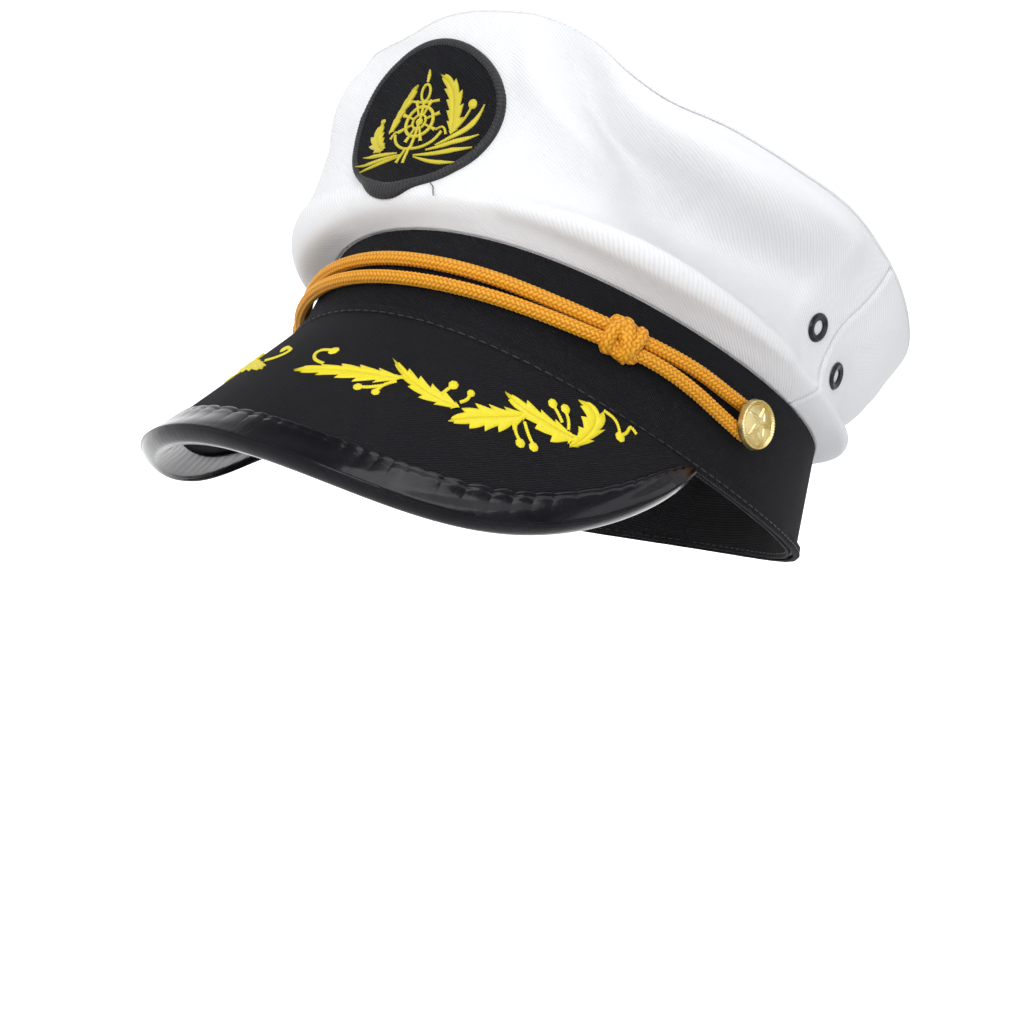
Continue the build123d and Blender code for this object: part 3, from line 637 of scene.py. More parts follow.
stitchLine(
    bandStitches, bandPoint(around, lows + 1.25, band["hemRise"] + 0.1), bandNormal(around),
    band["stitch"], band["stitchGap"], 0.2,
)
fit(bandStitches.build("bandStitches"), "black_thread", "cap")
print("band ready")

# visor: constant-slope surface out from the band's lower edge
visor = {
    "halfAngle": 71.0, "depth": 65.0, "fullness": 3.03, "slope": 56.7, "slopeGain": 52.4, "slopeFall": 69.1,
    "gap": 1.0, "end": 0.975, "fold": 11.6, "stack": 2.9, "pitch": 5.6, "pucker": 0.17,
}


def visorFrame(angle):
    angle = np.asarray(angle, float)
    root = bandPoint(angle, lowerEdge(band["halfWidth"] * np.sin(np.radians(angle))), visor["gap"])
    t = angle / visor["halfAngle"]
    slope = np.radians(visor["slope"] + visor["slopeGain"] * t**2 - visor["slopeFall"] * t**4)[..., None]
    out, up = bandNormal(angle), np.array([0, 0, 1.0])
    return root, out * np.cos(slope) - up * np.sin(slope), out * np.sin(slope) + up * np.cos(slope)


def visorWidth(angle):
    return visor["depth"] * (1 - np.abs(angle / visor["halfAngle"]) ** visor["fullness"])


def visorPoint(angle, along, above=0.0):
    root, down, normal = visorFrame(angle)
    return root + down * np.asarray(along)[..., None] + normal * np.asarray(above)[..., None]


def visorSheet(name, slotName, node, top, start, inset, thickness, flip=False):
    half = visor["halfAngle"] * visor["end"]
    a, s = np.meshgrid(np.linspace(-half, half, 190), np.linspace(0, 1, 60), indexing="ij")
    along = start + (visorWidth(a) - inset - start) * s
    points = visorPoint(a, along, top + 0.0 * a)
    uv = np.stack([a * 2.0, along], -1)
    piece = addGrid(name, points, uv, thickness=thickness)
    return fit(piece, slotName, "cap", node)


visorSheet("visorTopCover", "black_twill", "visor_top_cover", 0.0, -0.4, 0.8, 0.6)
visorSheet("visorLining", "black_lining", "visor_lining", -2.45, 0.5, 0.8, 0.5)


def bindingPoints():
    half = visor["halfAngle"] * visor["end"]
    angles = np.linspace(-half, half, 1100)
    width = visorWidth(angles)
    fold = visor["fold"] * np.tanh(0.7 * width / visor["fold"])
    free = visorPoint(angles, width)
    run = np.cumsum(np.linalg.norm(np.diff(free, axis=0, prepend=free[:1]), axis=1))
    phase = run / visor["pitch"] + 0.55 * np.sin(run / 17.0) + 0.2 * np.sin(run / 6.1 + 1.0)
    gather = np.abs(np.sin(np.pi * phase)) ** 0.7
    uneven = 0.6 + 0.4 * np.sin(run / 9.0 + 2) * np.sin(run / 23.0)
    stack = visor["stack"]
    rows, across = [], []
    for u in np.linspace(0, 1, 22):        # upper side, from the inner edge outwards
        edge = 1.4 * (1 - gather) * uneven * (1 - u) ** 2
        away = width - fold * (1 - u) + edge
        swell = visor["pucker"] * gather * uneven * (1 - u) ** 1.2 * smooth(0.0, 0.12, u)
        dip = -0.42 * np.exp(-(((u - 0.17) / 0.05) ** 2)) * (0.4 + 0.6 * (1 - gather))
        body = 0.35 + 0.55 * smooth(0.0, 0.10, u) + 0.5 * smooth(0.35, 1.0, u)
        wave = 0.16 * np.sin(run / 7.3 + 5 * u) * u * (1 - u) * 4
        body = np.where(u < 0.01, 0.05, body)
        rows.append((away - 0.0 * run, body + swell + dip + wave))
    for t in np.linspace(0, np.pi, 13)[1:-1]:   # round the free edge
        rows.append((width + 0.9 * np.sin(t) - 0.3, -stack / 2 + (stack / 2 + 1.2) * np.cos(t) - 0.15))
    for u in np.linspace(0, 1, 12):        # under side, back inwards
        swell = 0.08 * gather * u
        rows.append((width - fold * u * 0.98, -stack - 0.75 - swell + 0.35 * smooth(0.85, 1.0, u)))
    points = [visorPoint(angles, away, above + 0.0 * run) for away, above in rows]
    return np.stack(points, 1), run


points, run = bindingPoints()
steps = np.cumsum(np.linalg.norm(np.diff(points, axis=1, prepend=points[:, :1]), axis=2), axis=1)
piece = addGrid("visorBinding", points, np.stack([run[:, None] + 0 * steps, steps], -1), thickness=0.35)
fit(piece, "patent_black", "cap", "visor_binding")
bindingStitches = Parts()
half = visor["halfAngle"] * visor["end"] - 1.5
around = np.linspace(-half, half, 700)
width = visorWidth(around)
fold = visor["fold"] * np.tanh(0.7 * width / visor["fold"])
stitchLine(
    bindingStitches, visorPoint(around, width - fold * 0.83, 0.72 + 0 * around), visorFrame(around)[2],
    3.2, 1.0, 0.24,
)
fit(bindingStitches.build("bindingStitches"), "black_thread", "cap")
print("visor ready")


# embroidery: satin leaves with toothed edges either side of a vein, stems and berries
stitching = {"row": 0.36, "ridge": 0.13, "leafHeight": 0.95, "tooth": 0.46, "lead": 0.09}


def onVisor(side):
    return lambda flat, lift: visorPoint(side * flat[..., 0], flat[..., 1], lift + 0.25)


def satinLeaf(parts, chart, vein, upper, lower, scale, teeth=5, height=None, flip=False):
    # scale turns the chart's first axis into millimetres
    height = height or stitching["leafHeight"]
    metric = np.array([scale, 1.0])
    length = np.linalg.norm(np.diff(np.array(vein) * metric, axis=0), axis=1).sum()
    count = max(12, int(length / stitching["row"]))
    spine = softLine(np.array(vein) * metric, count)
    for edge, turn in ((upper, False), (lower, True)):
        outline = softLine(np.array([vein[0], *edge, vein[-1]]) * metric, count)
        t = np.linspace(0, 1, count)
        c = np.array([0.0, 0.12, 0.3, 0.5, 0.7, 0.86, 0.95, 1.0, 1.02])
        tt, cc = np.meshgrid(t, c, indexing="ij")
        saw = (tt * teeth + 0.15) % 1.0
        reach = 1.0 - stitching["tooth"] * saw * smooth(0.0, 0.2, tt)
        at = np.clip(tt - stitching["lead"] * cc, 0, 1) * (count - 1)
        k = np.clip(at.astype(int), 0, count - 2)
        f = (at - k)[..., None]
        rim = outline[k] * (1 - f) + outline[k + 1] * f
        root = spine[np.arange(count)][:, None, :]
        flat = root + (rim - root) * (np.clip(cc, 0, 1) * reach)[..., None]
        ridge = np.where(np.arange(count) % 2, 1.0, -0.6)[:, None]
        dome = np.sin(np.pi * np.clip(0.10 + 0.86 * cc, 0, 1)) ** 0.55
        lift = height * dome + stitching["ridge"] * ridge * dome
        lift = np.where(cc > 0.99, 0.12, lift)
        lift = np.where(cc > 1.01, -0.25, lift)
        # painted shade: darker next to the vein, on alternate stitch rows and along the leaf's edge
        reliefShade = 0.5 + 0.5 * smooth(0.0, 0.10, cc) * (0.66 + 0.34 * ridge)
        reliefShade = reliefShade * np.where(cc > 0.99, 0.5, 1.0)
        points = chart(flat / metric, lift)
        parts.add(points, reliefShade, flip=turn != flip)


def satinLine(parts, chart, line, width, scale, height=0.7, flip=False):
    metric = np.array([scale, 1.0])
    if len(line) == 2:
        line = [line[0], [(line[0][k] + line[1][k]) / 2 for k in range(2)], line[1]]
    length = np.linalg.norm(np.diff(np.array(line) * metric, axis=0), axis=1).sum()
    count = max(6, int(length / stitching["row"]))
    spine = softLine(np.array(line) * metric, count)
    ahead = unit(np.gradient(spine, axis=0))
    side = np.stack([-ahead[:, 1], ahead[:, 0]], -1)
    c = np.array([-1.0, -0.92, -0.6, 0.0, 0.6, 0.92, 1.0])
    widths = np.atleast_1d(np.array(width, float))
    widths = np.interp(np.linspace(0, 1, count), np.linspace(0, 1, len(widths)), widths)
    ridge = np.where(np.arange(count) % 2, 1.0, 0.72)[:, None]
    spread = c[None, :, None] * widths[:, None, None] / 2 * ridge[..., None] ** 0.3
    flat = spine[:, None] + side[:, None] * spread
    lift = height * np.sqrt(np.clip(1.02 - c**2, 0, 1))[None] * ridge - 0.15 * (np.abs(c) > 0.99)[None]
    points = chart(flat / metric, lift)
    # painted shade: darker on alternate rows and towards the edges of the line
    parts.add(points, ridge * np.ones_like(c) * (0.55 + 0.45 * np.sqrt(1.001 - c**2)), flip=flip)


def satinDot(parts, chart, centre, radius, scale, height=0.9, flip=False):
    t = np.linspace(0, 2 * np.pi, 28, endpoint=False)
    shares = np.array([0.02, 0.35, 0.6, 0.8, 0.93, 1.0, 1.02])
    s, a = np.meshgrid(shares, t, indexing="ij")
    groove = 0.5 + 0.5 * np.cos(a * 7)
    flat = np.stack([centre[0] * scale + radius * s * np.cos(a), centre[1] + radius * s * np.sin(a)], -1)
    lift = height * np.sqrt(np.clip(1.01 - s**2, 0, 1))
    lift = lift - 0.12 * groove * s * (s < 0.97) - 0.2 * (s > 1.01)
    points = chart(flat / np.array([scale, 1.0]), lift)
    # painted shade: darker in the grooves between the dot's stitches
    parts.add(points, 0.6 + 0.4 * (1 - groove), close=(False, True), flip=not flip)


# leaves of a branch: vein from tip to stalk, then points of its two edges, (angle, along the slope)
branchLeaves = (
    (((3.8, 33.6), (7.0, 31.0), (11.1, 28.8), (15.2, 26.6), (20.8, 24.2)),
     ((4.8, 30.4), (7.8, 27.9), (10.8, 25.2), (14.0, 23.8), (17.4, 23.0)),
     ((6.6, 33.9), (10.0, 33.0), (13.2, 32.4), (16.4, 30.2), (18.9, 26.8)), 6),
    (((16.9, 18.2), (20.0, 22.0), (22.8, 24.0), (25.9, 25.2), (30.2, 25.2)),
     ((19.5, 18.8), (22.2, 19.8), (24.9, 20.9), (27.8, 22.0)),
     ((19.2, 22.8), (21.8, 26.2), (24.4, 28.4), (26.8, 28.0), (28.7, 27.0)), 6),
    (((29.6, 31.2), (31.8, 27.2), (34.4, 23.6), (37.1, 20.1), (39.8, 16.4)),
     ((30.0, 26.4), (31.4, 21.4), (33.4, 19.2), (35.6, 17.6), (37.8, 16.2)),
     ((31.8, 30.4), (34.2, 29.4), (36.0, 27.2), (38.2, 24.8), (39.4, 20.2)), 6),
    (((35.4, 12.6), (37.8, 14.2), (40.5, 15.0), (43.8, 15.4), (47.8, 15.8)),
     ((37.6, 11.6), (39.8, 11.2), (42.1, 12.0), (44.5, 12.6), (46.6, 14.0)),
     ((37.4, 16.4), (40.1, 18.4), (42.6, 20.0), (45.0, 20.9), (47.0, 18.4)), 5),
    (((47.0, 2.4), (49.8, 3.0), (50.5, 6.8), (49.6, 12.5), (47.3, 19.8)),
     ((49.2, 0.6), (51.9, 1.2), (52.9, 4.2), (52.2, 8.6), (50.4, 14.6)),
     ((47.6, 4.6), (47.9, 7.0), (47.9, 9.6), (47.7, 12.4), (47.2, 15.6)), 5),
)
branchStems = (
    ((7.2, 27.8), (5.0, 26.8), (3.6, 24.2), (4.0, 21.8), (6.0, 21.2)),
    ((19.8, 25.6), (18.6, 28.6), (18.2, 31.8)), ((18.4, 29.2), (17.0, 31.4), (15.6, 32.8)),
    ((26.8, 23.4), (27.2, 21.0), (27.7, 18.8)), ((29.8, 23.2), (30.6, 21.0), (30.6, 18.8)),
    ((45.4, 12.6), (44.4, 10.4), (43.2, 8.4)), ((46.6, 14.0), (46.2, 10.6), (45.3, 8.0)),
    ((38.6, 20.0), (39.0, 23.2), (40.1, 25.6)), ((39.8, 18.8), (40.9, 22.0), (42.1, 24.6)),
    ((51.6, 0.8), (53.8, 1.6), (54.8, 4.4), (55.1, 6.4)),
    ((55.2, 5.8), (56.2, 3.6), (56.8, 1.0), (58.0, 2.2)),
)
branchBerries = (
    (6.2, 21.2, 1.7), (15.4, 32.9, 1.3), (18.2, 32.3, 1.2), (27.7, 18.4, 1.5), (30.7, 18.4, 1.2),
    (43.1, 8.0, 1.5), (45.3, 7.5, 1.5), (40.2, 26.1, 1.4), (42.2, 25.1, 1.4), (55.1, 6.6, 1.6),
)
for sideName, side in (("left", 1), ("right", -1)):
    branch, chart = Parts(), onVisor(side)
    for vein, upper, lower, teeth in branchLeaves:
        satinLeaf(branch, chart, vein, upper, lower, 2.05, teeth, flip=side < 0)
    for stem in branchStems:
        satinLine(branch, chart, stem, 1.35, 2.05, 0.9, flip=side < 0)
    for angle, along, radius in branchBerries:
        satinDot(branch, chart, (angle, along), radius * 1.2, 2.05, flip=side < 0)
    fit(branch.build("visorBranch" + sideName.title()), "lemon_thread", "cap", "visor_branch_" + sideName)
print("visor embroidery ready")


# badge: egg-shaped patch that follows the crown's front
badge = {
    "foot": 38.5, "height": 53.0, "halfWidth": 29.0, "widest": 31.5, "border": 2.7,
    "ground": 1.35, "rimHeight": 1.3, "rimPitch": 1.15,
}


def crownShare(x, z):
    # angle and share up the wall of the front's point with this x and height
    angle, share = np.degrees(np.arcsin(x / 105.0)), (z - 34.0) / 60.0
    for _ in range(12):
        here = crownPlain(angle, share)
        dx, dz = here[..., 0] - x, here[..., 2] - z
        ahead = crownPlain(angle + 0.1, share)
        above = crownPlain(angle, share + 0.005)
        a, b = (ahead[..., 0] - here[..., 0]) / 0.1, (above[..., 0] - here[..., 0]) / 0.005
        c, d = (ahead[..., 2] - here[..., 2]) / 0.1, (above[..., 2] - here[..., 2]) / 0.005
        det = a * d - b * c
        angle = angle - (d * dx - b * dz) / det
        share = np.clip(share - (a * dz - c * dx) / det, 0.02, 0.99)
    return angle, share


def onBadge(flat, lift):
    angle, share = crownShare(flat[..., 0], flat[..., 1])
    return crownPoint(angle, share, lift)


def badgeOutline(count, shrink=0.0):
    # four quarter curves, wider end up, going round to the wearer's left
    foot, top = badge["foot"] + shrink, badge["foot"] + badge["height"] - shrink
    wide, middle = badge["halfWidth"] - shrink, badge["foot"] + badge["widest"]
    corners = np.array([(0, foot), (wide, middle), (0, top), (-wide, middle)])
    # the foot is blunt, and fuller on the wearer's right
    leaving = np.array([(0.95, 0), (0, 1.0), (-1.1, 0), (0, -1.35)])
    arriving = np.array([(1.15, 0), (0, 1.0), (-1.1, 0), (0, -1.0)])
    curve = []
    for i in range(4):
        j = (i + 1) % 4
        reach = np.linalg.norm(corners[j] - corners[i])
        t = np.linspace(0, 1, 60, endpoint=False)[:, None]
        t2, t3 = t * t, t * t * t
        curve.append(
            (2 * t3 - 3 * t2 + 1) * corners[i] + (3 * t2 - 2 * t3) * corners[j]
            + reach * ((t3 - 2 * t2 + t) * leaving[i] + (t3 - t2) * arriving[j])
        )
    loop = np.concatenate(curve)
    return evenPoints(np.concatenate([loop, loop[:1]]), count + 1)[:-1]


outline = badgeOutline(220, 0.6)
centre = np.array([0.0, badge["foot"] + badge["widest"] - 3])
shares = np.concatenate([[0.01], np.linspace(0.06, 1.0, 26), [1.0]])
flat = centre + (outline[None] - centre) * shares[:, None, None]
lift = np.full(flat.shape[:2], badge["ground"])
lift[-1] = 0.1
points = onBadge(flat, lift)
piece = addGrid("badgeCloth", points, flat, close=(False, True), flip=True)
fit(piece, "black_twill", "cap", "badge_cloth", "badge_backing")

rim, rimIn = badgeOutline(760, badge["border"] / 2), badgeOutline(760, badge["border"])
outward = unit(rim - rimIn)
run = np.arange(760) * np.linalg.norm(rim[1] - rim[0])
turns = round(run[-1] / badge["rimPitch"])
t = np.linspace(0, np.pi, 11)
bulge = np.abs(np.sin(np.pi * (run[:, None] / run[-1] * turns + t[None] / np.pi * 0.9))) ** 0.8
across = -np.cos(t) * badge["border"] / 2
flat = rim[:, None] + outward[:, None] * (across[None, :, None] * (1 + 0.05 * bulge[..., None]))
lift = 0.25 + (badge["rimHeight"] + 0.35) * np.sin(t)[None] ** 0.8 * (0.86 + 0.14 * bulge)
lift[:, 0] = 0.5
lift[:, -1] = -0.2
# painted shade: darker between the wraps of the border thread
piece = addGrid(
    "badgeBorder", onBadge(flat, lift), reliefShade=0.25 + 0.75 * bulge, close=(True, False), flip=True
)
fit(piece, "black_thread", "cap", "badge_border")


def onPatch(flat, lift):
    return onBadge(flat, lift + badge["ground"])


sprays = Parts()
# upright plumes and the low leaf on the wearer's right, as (vein, one edge, other edge, teeth)
badgeLeaves = (
    (((5.8, 79.4), (10.2, 75.8), (12.4, 70.6), (13.4, 65.4), (14.4, 59.8)),
     ((10.0, 79.0), (14.2, 75.0), (15.6, 69.6), (16.4, 64.6)),
     ((7.4, 75.6), (9.2, 71.4), (10.4, 66.6), (12.2, 62.2)), 6),
    (((-2.6, 77.0), (-5.3, 73.6), (-7.7, 69.6), (-9.0, 65.8), (-10.2, 61.0)),
     ((-4.3, 76.4), (-7.4, 72.6), (-9.6, 68.4), (-10.7, 64.6)),
     ((-3.4, 72.8), (-5.8, 69.4), (-7.4, 66.0), (-8.8, 62.6)), 5),
    (((-15.7, 66.4), (-16.5, 62.6), (-15.2, 59.0), (-12.6, 56.6), (-9.9, 55.0)),
     ((-19.2, 64.2), (-20.2, 60.2), (-18.1, 56.6), (-13.6, 54.4)),
     ((-14.1, 63.6), (-13.0, 61.0), (-11.5, 58.6), (-10.4, 56.6)), 5),
)
for vein, upper, lower, teeth in badgeLeaves:
    satinLeaf(sprays, onPatch, vein, upper, lower, 1.0, teeth, 0.8, flip=vein[0][0] > 0)
badgeRays = (
    (((22.6, 70.6), (19.6, 64.6), (15.2, 60.0), (9.8, 56.2)), (0.3, 2.3, 1.9, 0.6)),
    (((22.8, 61.2), (17.0, 58.4), (11.6, 56.0), (7.0, 54.4)), (0.3, 2.1, 1.7, 0.6)),
    (((22.0, 56.8), (14.6, 54.4), (8.6, 53.0), (3.2, 52.4)), (0.4, 2.2, 1.6, 0.6)),
    (((18.8, 50.6), (12.4, 50.2), (7.4, 50.8), (3.4, 51.8)), (0.4, 1.9, 1.5, 0.5)),
    (((-21.6, 50.6), (-14.9, 50.8), (-8.5, 51.6), (-1.9, 52.6)), (0.3, 1.7, 1.6, 0.6)),
    (((-19.7, 54.0), (-13.6, 53.6), (-8.3, 53.4), (-3.5, 53.4)), (0.3, 1.9, 1.7, 0.6)),
    (((-18.1, 47.6), (-11.7, 49.2), (-6.7, 50.6), (-2.1, 51.8)), (0.3, 1.6, 1.4, 0.5)),
    (((0.4, 49.2), (0.2, 52.2), (0.4, 55.6)), (1.2, 1.1, 1.1)),
    (((-2.3, 49.4), (-1.8, 51.8), (-1.0, 54.6)), (1.1, 1.0, 0.9)),
    (((18.0, 69.4), (16.6, 65.6), (14.8, 62.0)), (0.8, 0.8, 0.8)),
    (((0.9, 77.4), (1.0, 79.4), (0.9, 81.2)), (0.9, 1.7, 0.4)),
    (((0.9, 71.6), (0.9, 68.8), (0.8, 58.0), (0.6, 55.0)), (1.2, 1.2, 1.2, 1.2)),
    (((-7.7, 60.6), (-6.1, 57.6), (-2.9, 55.4), (0.6, 54.9), (4.8, 55.6), (8.4, 58.0), (10.2, 61.2)),
     (1.2,) * 7),
    (((-9.3, 59.2), (-7.8, 61.6), (-5.9, 60.8)), (1.0, 0.9, 0.7)),
    (((12.2, 60.0), (10.4, 62.6), (8.0, 61.6)), (1.0, 0.9, 0.7)),
    (((-4.2, 72.0), (0.9, 71.2), (7.0, 71.6)), (1.0, 1.2, 1.0)),
)
for line, widths in badgeRays:
    satinLine(sprays, onPatch, line, tuple(0.86 * w for w in widths), 1.0, 0.6)
for x, z, radius in ((18.3, 70.6, 1.5), (-16.4, 67.2, 1.0), (0.8, 64.6, 1.3)):
    satinDot(sprays, onPatch, (x, z), radius, 1.0, 0.75)


def satinRing(cx, cz, wide, tall, width):
    a = np.linspace(0, 2 * np.pi, 13)
    line = [(cx + wide * np.cos(t), cz + tall * np.sin(t)) for t in a]
    satinLine(sprays, onPatch, line, (width,) * 4, 1.0, 0.6)


satinRing(0.9, 74.2, 1.7, 2.6, 0.9)
satinRing(0.8, 64.6, 5.2, 5.2, 1.2)
satinRing(0.8, 64.6, 2.5, 2.5, 0.8)
for i in range(8):
    a = np.radians(22.5 + 45 * i)
    ends = [(0.8 + r * np.cos(a), 64.6 + r * np.sin(a)) for r in (2.0, 5.0, 7.8)]
    satinLine(sprays, onPatch, ends, (0.8, 0.8, 1.5), 1.0, 0.6)
fit(sprays.build("badgeEmbroidery"), "gold_thread", "cap", "badge_embroidery")

# a short loose end of border thread under the badge
looseLine = softLine([(13.6, 42.6), (15.2, 41.4), (16.4, 40.4), (17.4, 38.9)], 24)
looseParts = Parts()
looseTurn = np.linspace(0, 2 * np.pi, 7)[:-1]
centreLine = onBadge(looseLine, np.linspace(0.35, 1.3, 24))
ahead = unit(np.gradient(centreLine, axis=0))
side = unit(np.cross(ahead, np.array([0, 0, 1.0])))
over = np.cross(side, ahead)
tube = centreLine[:, None] + 0.17 * (
    side[:, None] * np.cos(looseTurn)[None, :, None] + over[:, None] * np.sin(looseTurn)[None, :, None]
)
looseParts.add(tube, close=(False, True))
fit(looseParts.build("badgeLooseThread"), "black_thread", "cap")
print("badge ready")

# chin cord: one braided loop round both buttons, and a tied knot on each side
cord = {
    "diameter": 4.0, "stations": (
        (73.5, 9.05, 3.7, 0.8), (65.5, 11.1, 2.2, 1.5), (58.0, 11.95, 0.6, 2.2), (50.7, 12.15, 0.3, 2.3),
        (43.4, 12.4, 0.6, 2.2), (35.6, 13.5, 1.0, 1.5), (27.4, 14.75, 1.7, 1.0), (19.2, 15.5, 2.2, 1.0),
        (11.4, 15.95, 2.5, 1.0), (3.8, 16.25, 2.7, 1.0),
    ),
    "strands": 8, "cell": 1.5, "grain": 0.46, "around": 56, "step": 0.29,
    "loopRadius": 4.4, "loopStandoff": 2.7, "buttonAngle": 79.0, "buttonHeight": 8.0,
}


def strand(side, up):
    line = []
    for angle, middle, between, clear in cord["stations"]:
        height = middle + up * (cord["diameter"] + between) / 2
        line.append(bandPoint(side * angle, height, clear + cord["diameter"] / 2))
    return line


def loopCorners(side):
    angle, corners = side * cord["buttonAngle"], []
    rearward = np.cross(np.array([0, 0, 1.0]), bandNormal(angle)) * side
    for up in (1, -1):
        height = cord["buttonHeight"] + up * cord["loopRadius"]
        corners.append(bandPoint(angle, height, cord["loopStandoff"]) + rearward * cord["loopRadius"])
    return corners


def nurbsLine(points, closed):
    curve = bpy.data.curves.new("route", "CURVE")
    curve.dimensions = "3D"
    spline = curve.splines.new("NURBS")
    spline.points.add(len(points) - 1)
    for place, point in zip(spline.points, points):
        place.co = (*[float(c) for c in point], 1.0)
    spline.order_u = 3
    spline.use_cyclic_u = closed
    spline.use_endpoint_u = not closed
    spline.resolution_u = 24
    holder = bpy.data.objects.new("route", curve)
    mesh = bpy.data.meshes.new_from_object(holder)
    line = np.array([vertex.co for vertex in mesh.vertices], float)
    bpy.data.objects.remove(holder)
    bpy.data.curves.remove(curve)
    bpy.data.meshes.remove(mesh)
    return line


def braid(line, radius, strands, cell, grain, around):
    # closed tube along evenly spaced points, covered in a plain braid
    count = len(line)
    ahead = unit(np.roll(line, -1, 0) - np.roll(line, 1, 0))
    side = np.zeros_like(line)
    side[0] = unit(np.cross(ahead[0], np.array([0.1, 0.2, 1.0])))
    for i in range(1, count):
        side[i] = unit(side[i - 1] - ahead[i] * (side[i - 1] @ ahead[i]))
    last = unit(side[-1] - ahead[0] * (side[-1] @ ahead[0]))
    twist = np.arctan2(np.cross(last, side[0]) @ ahead[0], last @ side[0])
    over = np.cross(ahead, side)
    phi = np.linspace(0, 2 * np.pi, around, endpoint=False)
    length = np.linalg.norm(np.diff(line, axis=0, append=line[:1]), axis=1).sum()
    cells = 2 * round(length / cell / 2)
    k = np.arange(count)[:, None] / count
    a = strands * (phi[None] - twist * k) / (2 * np.pi) + k * cells
    b = strands * (phi[None] - twist * k) / (2 * np.pi) - k * cells
    fa, fb = a % 1.0, b % 1.0
    turnOf = (np.floor(a) + np.floor(b)) % 4       # each strand runs over two and under two
    onTop = turnOf < 2
    first = np.where(onTop, fa, fb)
    second = (turnOf % 2 + np.where(onTop, fb, fa)) / 2
    reliefShade = np.sqrt(np.clip(1 - (2 * first - 1) ** 2, 0, 1)) * (1 - np.abs(2 * second - 1) ** 3.5)
    furrow = 0.5 + 0.5 * np.cos(6 * np.pi * first)
    reach = radius - grain * 0.62 + grain * reliefShade - 0.03 * furrow
    turn = phi[None, :, None]
    ringDirection = side[:, None] * np.cos(turn) + over[:, None] * np.sin(turn)
    points = line[:, None] + ringDirection * reach[..., None]
    # painted shade: darker in the hollows between strands and in the furrows between fibres
    return points, reliefShade * (0.8 + 0.2 * (1 - furrow))


ringPoints = strand(-1, 1) + strand(1, 1)[::-1] + loopCorners(1)
ringPoints += strand(1, -1) + strand(-1, -1)[::-1] + loopCorners(-1)[::-1]
route = nurbsLine(ringPoints, True)
route = evenPoints(np.concatenate([route, route[:1]]), step=cord["step"])[:-1]
points, reliefShade = braid(
    route, cord["diameter"] / 2, cord["strands"], cord["cell"], cord["grain"], cord["around"]
)
piece = addGrid("chinCord", points, reliefShade=reliefShade, close=(True, True), flip=True)
fit(piece, "golden_cord", "chin_cord", "chin_cord")

knot = {
    "angle": 50.7, "height": 12.15, "depth": 3.95, "reach": 4.3, "tall": 3.9, "front": 2.6, "rear": 1.1,
    "thick": 2.1, "turnThick": 2.0,
}
for sideName, side in (("left", 1), ("right", -1)):
    centre = bandPoint(side * knot["angle"], knot["height"], knot["depth"])
    normal = bandNormal(side * knot["angle"])
    level = unit(np.cross(normal, np.array([0, 0, 1.0])) * side)
    slope = np.radians(3.0)
    along = level * np.cos(slope) + np.array([0, 0, np.sin(slope)])
    upright = np.cross(along, normal) * side
    t = np.linspace(0, 2 * np.pi, 1200, endpoint=False)
    away = 1.0 - 0.17 * np.sin(4 * t + 0.4)
    facing = np.sin(3 * t) > 0
    deep = np.where(facing, knot["front"], knot["rear"]) + 0.5 * np.sin(4 * t + 0.4) * facing
    lean = 0.9 * np.sin(t + 0.8)
    line = (
        centre + along * (knot["reach"] * np.sin(2 * t) * (1 + 0.08 * np.cos(t)))[:, None]
        + upright * (knot["tall"] * away * np.cos(3 * t) + lean * 0.5)[:, None]
        + normal * (deep * away * np.sin(3 * t))[:, None]
    )
    line = evenPoints(np.concatenate([line, line[:1]]), step=0.3)[:-1]
    # one more turn of cord drawn tight over the middle
    t = np.linspace(0, 2 * np.pi, 400, endpoint=False)
    turn = (
        centre + along * (1.5 * np.cos(t) - 0.6)[:, None] + upright * (4.7 * np.cos(t))[:, None]
        + normal * (np.where(np.sin(t) > 0, 3.1, 1.2) * np.sin(t))[:, None]
    )
    turn = evenPoints(np.concatenate([turn, turn[:1]]), step=0.3)[:-1]
    knotParts = Parts()
    for path, thick in ((line, knot["thick"]), (turn, knot["turnThick"])):
        points, reliefShade = braid(path, thick, 8, 1.5, 0.42, 48)
        knotParts.add(points, reliefShade, close=(True, True), flip=True)
    piece = knotParts.build("knot" + sideName.title())
    fit(piece, "golden_cord", "knot_" + sideName, "knot_" + sideName)
print("cord ready")

# side buttons: dished shell with a rope rim and a raised star
button = {
    "angle": 79.0, "height": 8.0, "radius": 7.75, "face": 6.0, "dome": 1.0, "knurls": 52,
    "starOuter": 5.3, "starInner": 2.1, "ridge": 0.55,
}


def starReach(x, y):
    # distance to the star's outline, and whether inside it
    corners = []
    for i in range(10):
        r, a = (button["starOuter"], button["starInner"])[i % 2], np.radians(36 * i)
        corners.append((r * np.cos(a), r * np.sin(a)))
    near, inside = np.full(x.shape, 1e9), np.zeros(x.shape, bool)
    for (ax, ay), (bx, by) in zip(corners, corners[1:] + corners[:1]):
        ex, ey = bx - ax, by - ay
        t = np.clip(((x - ax) * ex + (y - ay) * ey) / (ex * ex + ey * ey), 0, 1)
        near = np.minimum(near, np.hypot(x - ax - t * ex, y - ay - t * ey))
        crosses = (ay > y) != (by > y)
        inside ^= crosses & (x < (bx - ax) * (y - ay) / (by - ay + 1e-12) + ax)
    return near, inside


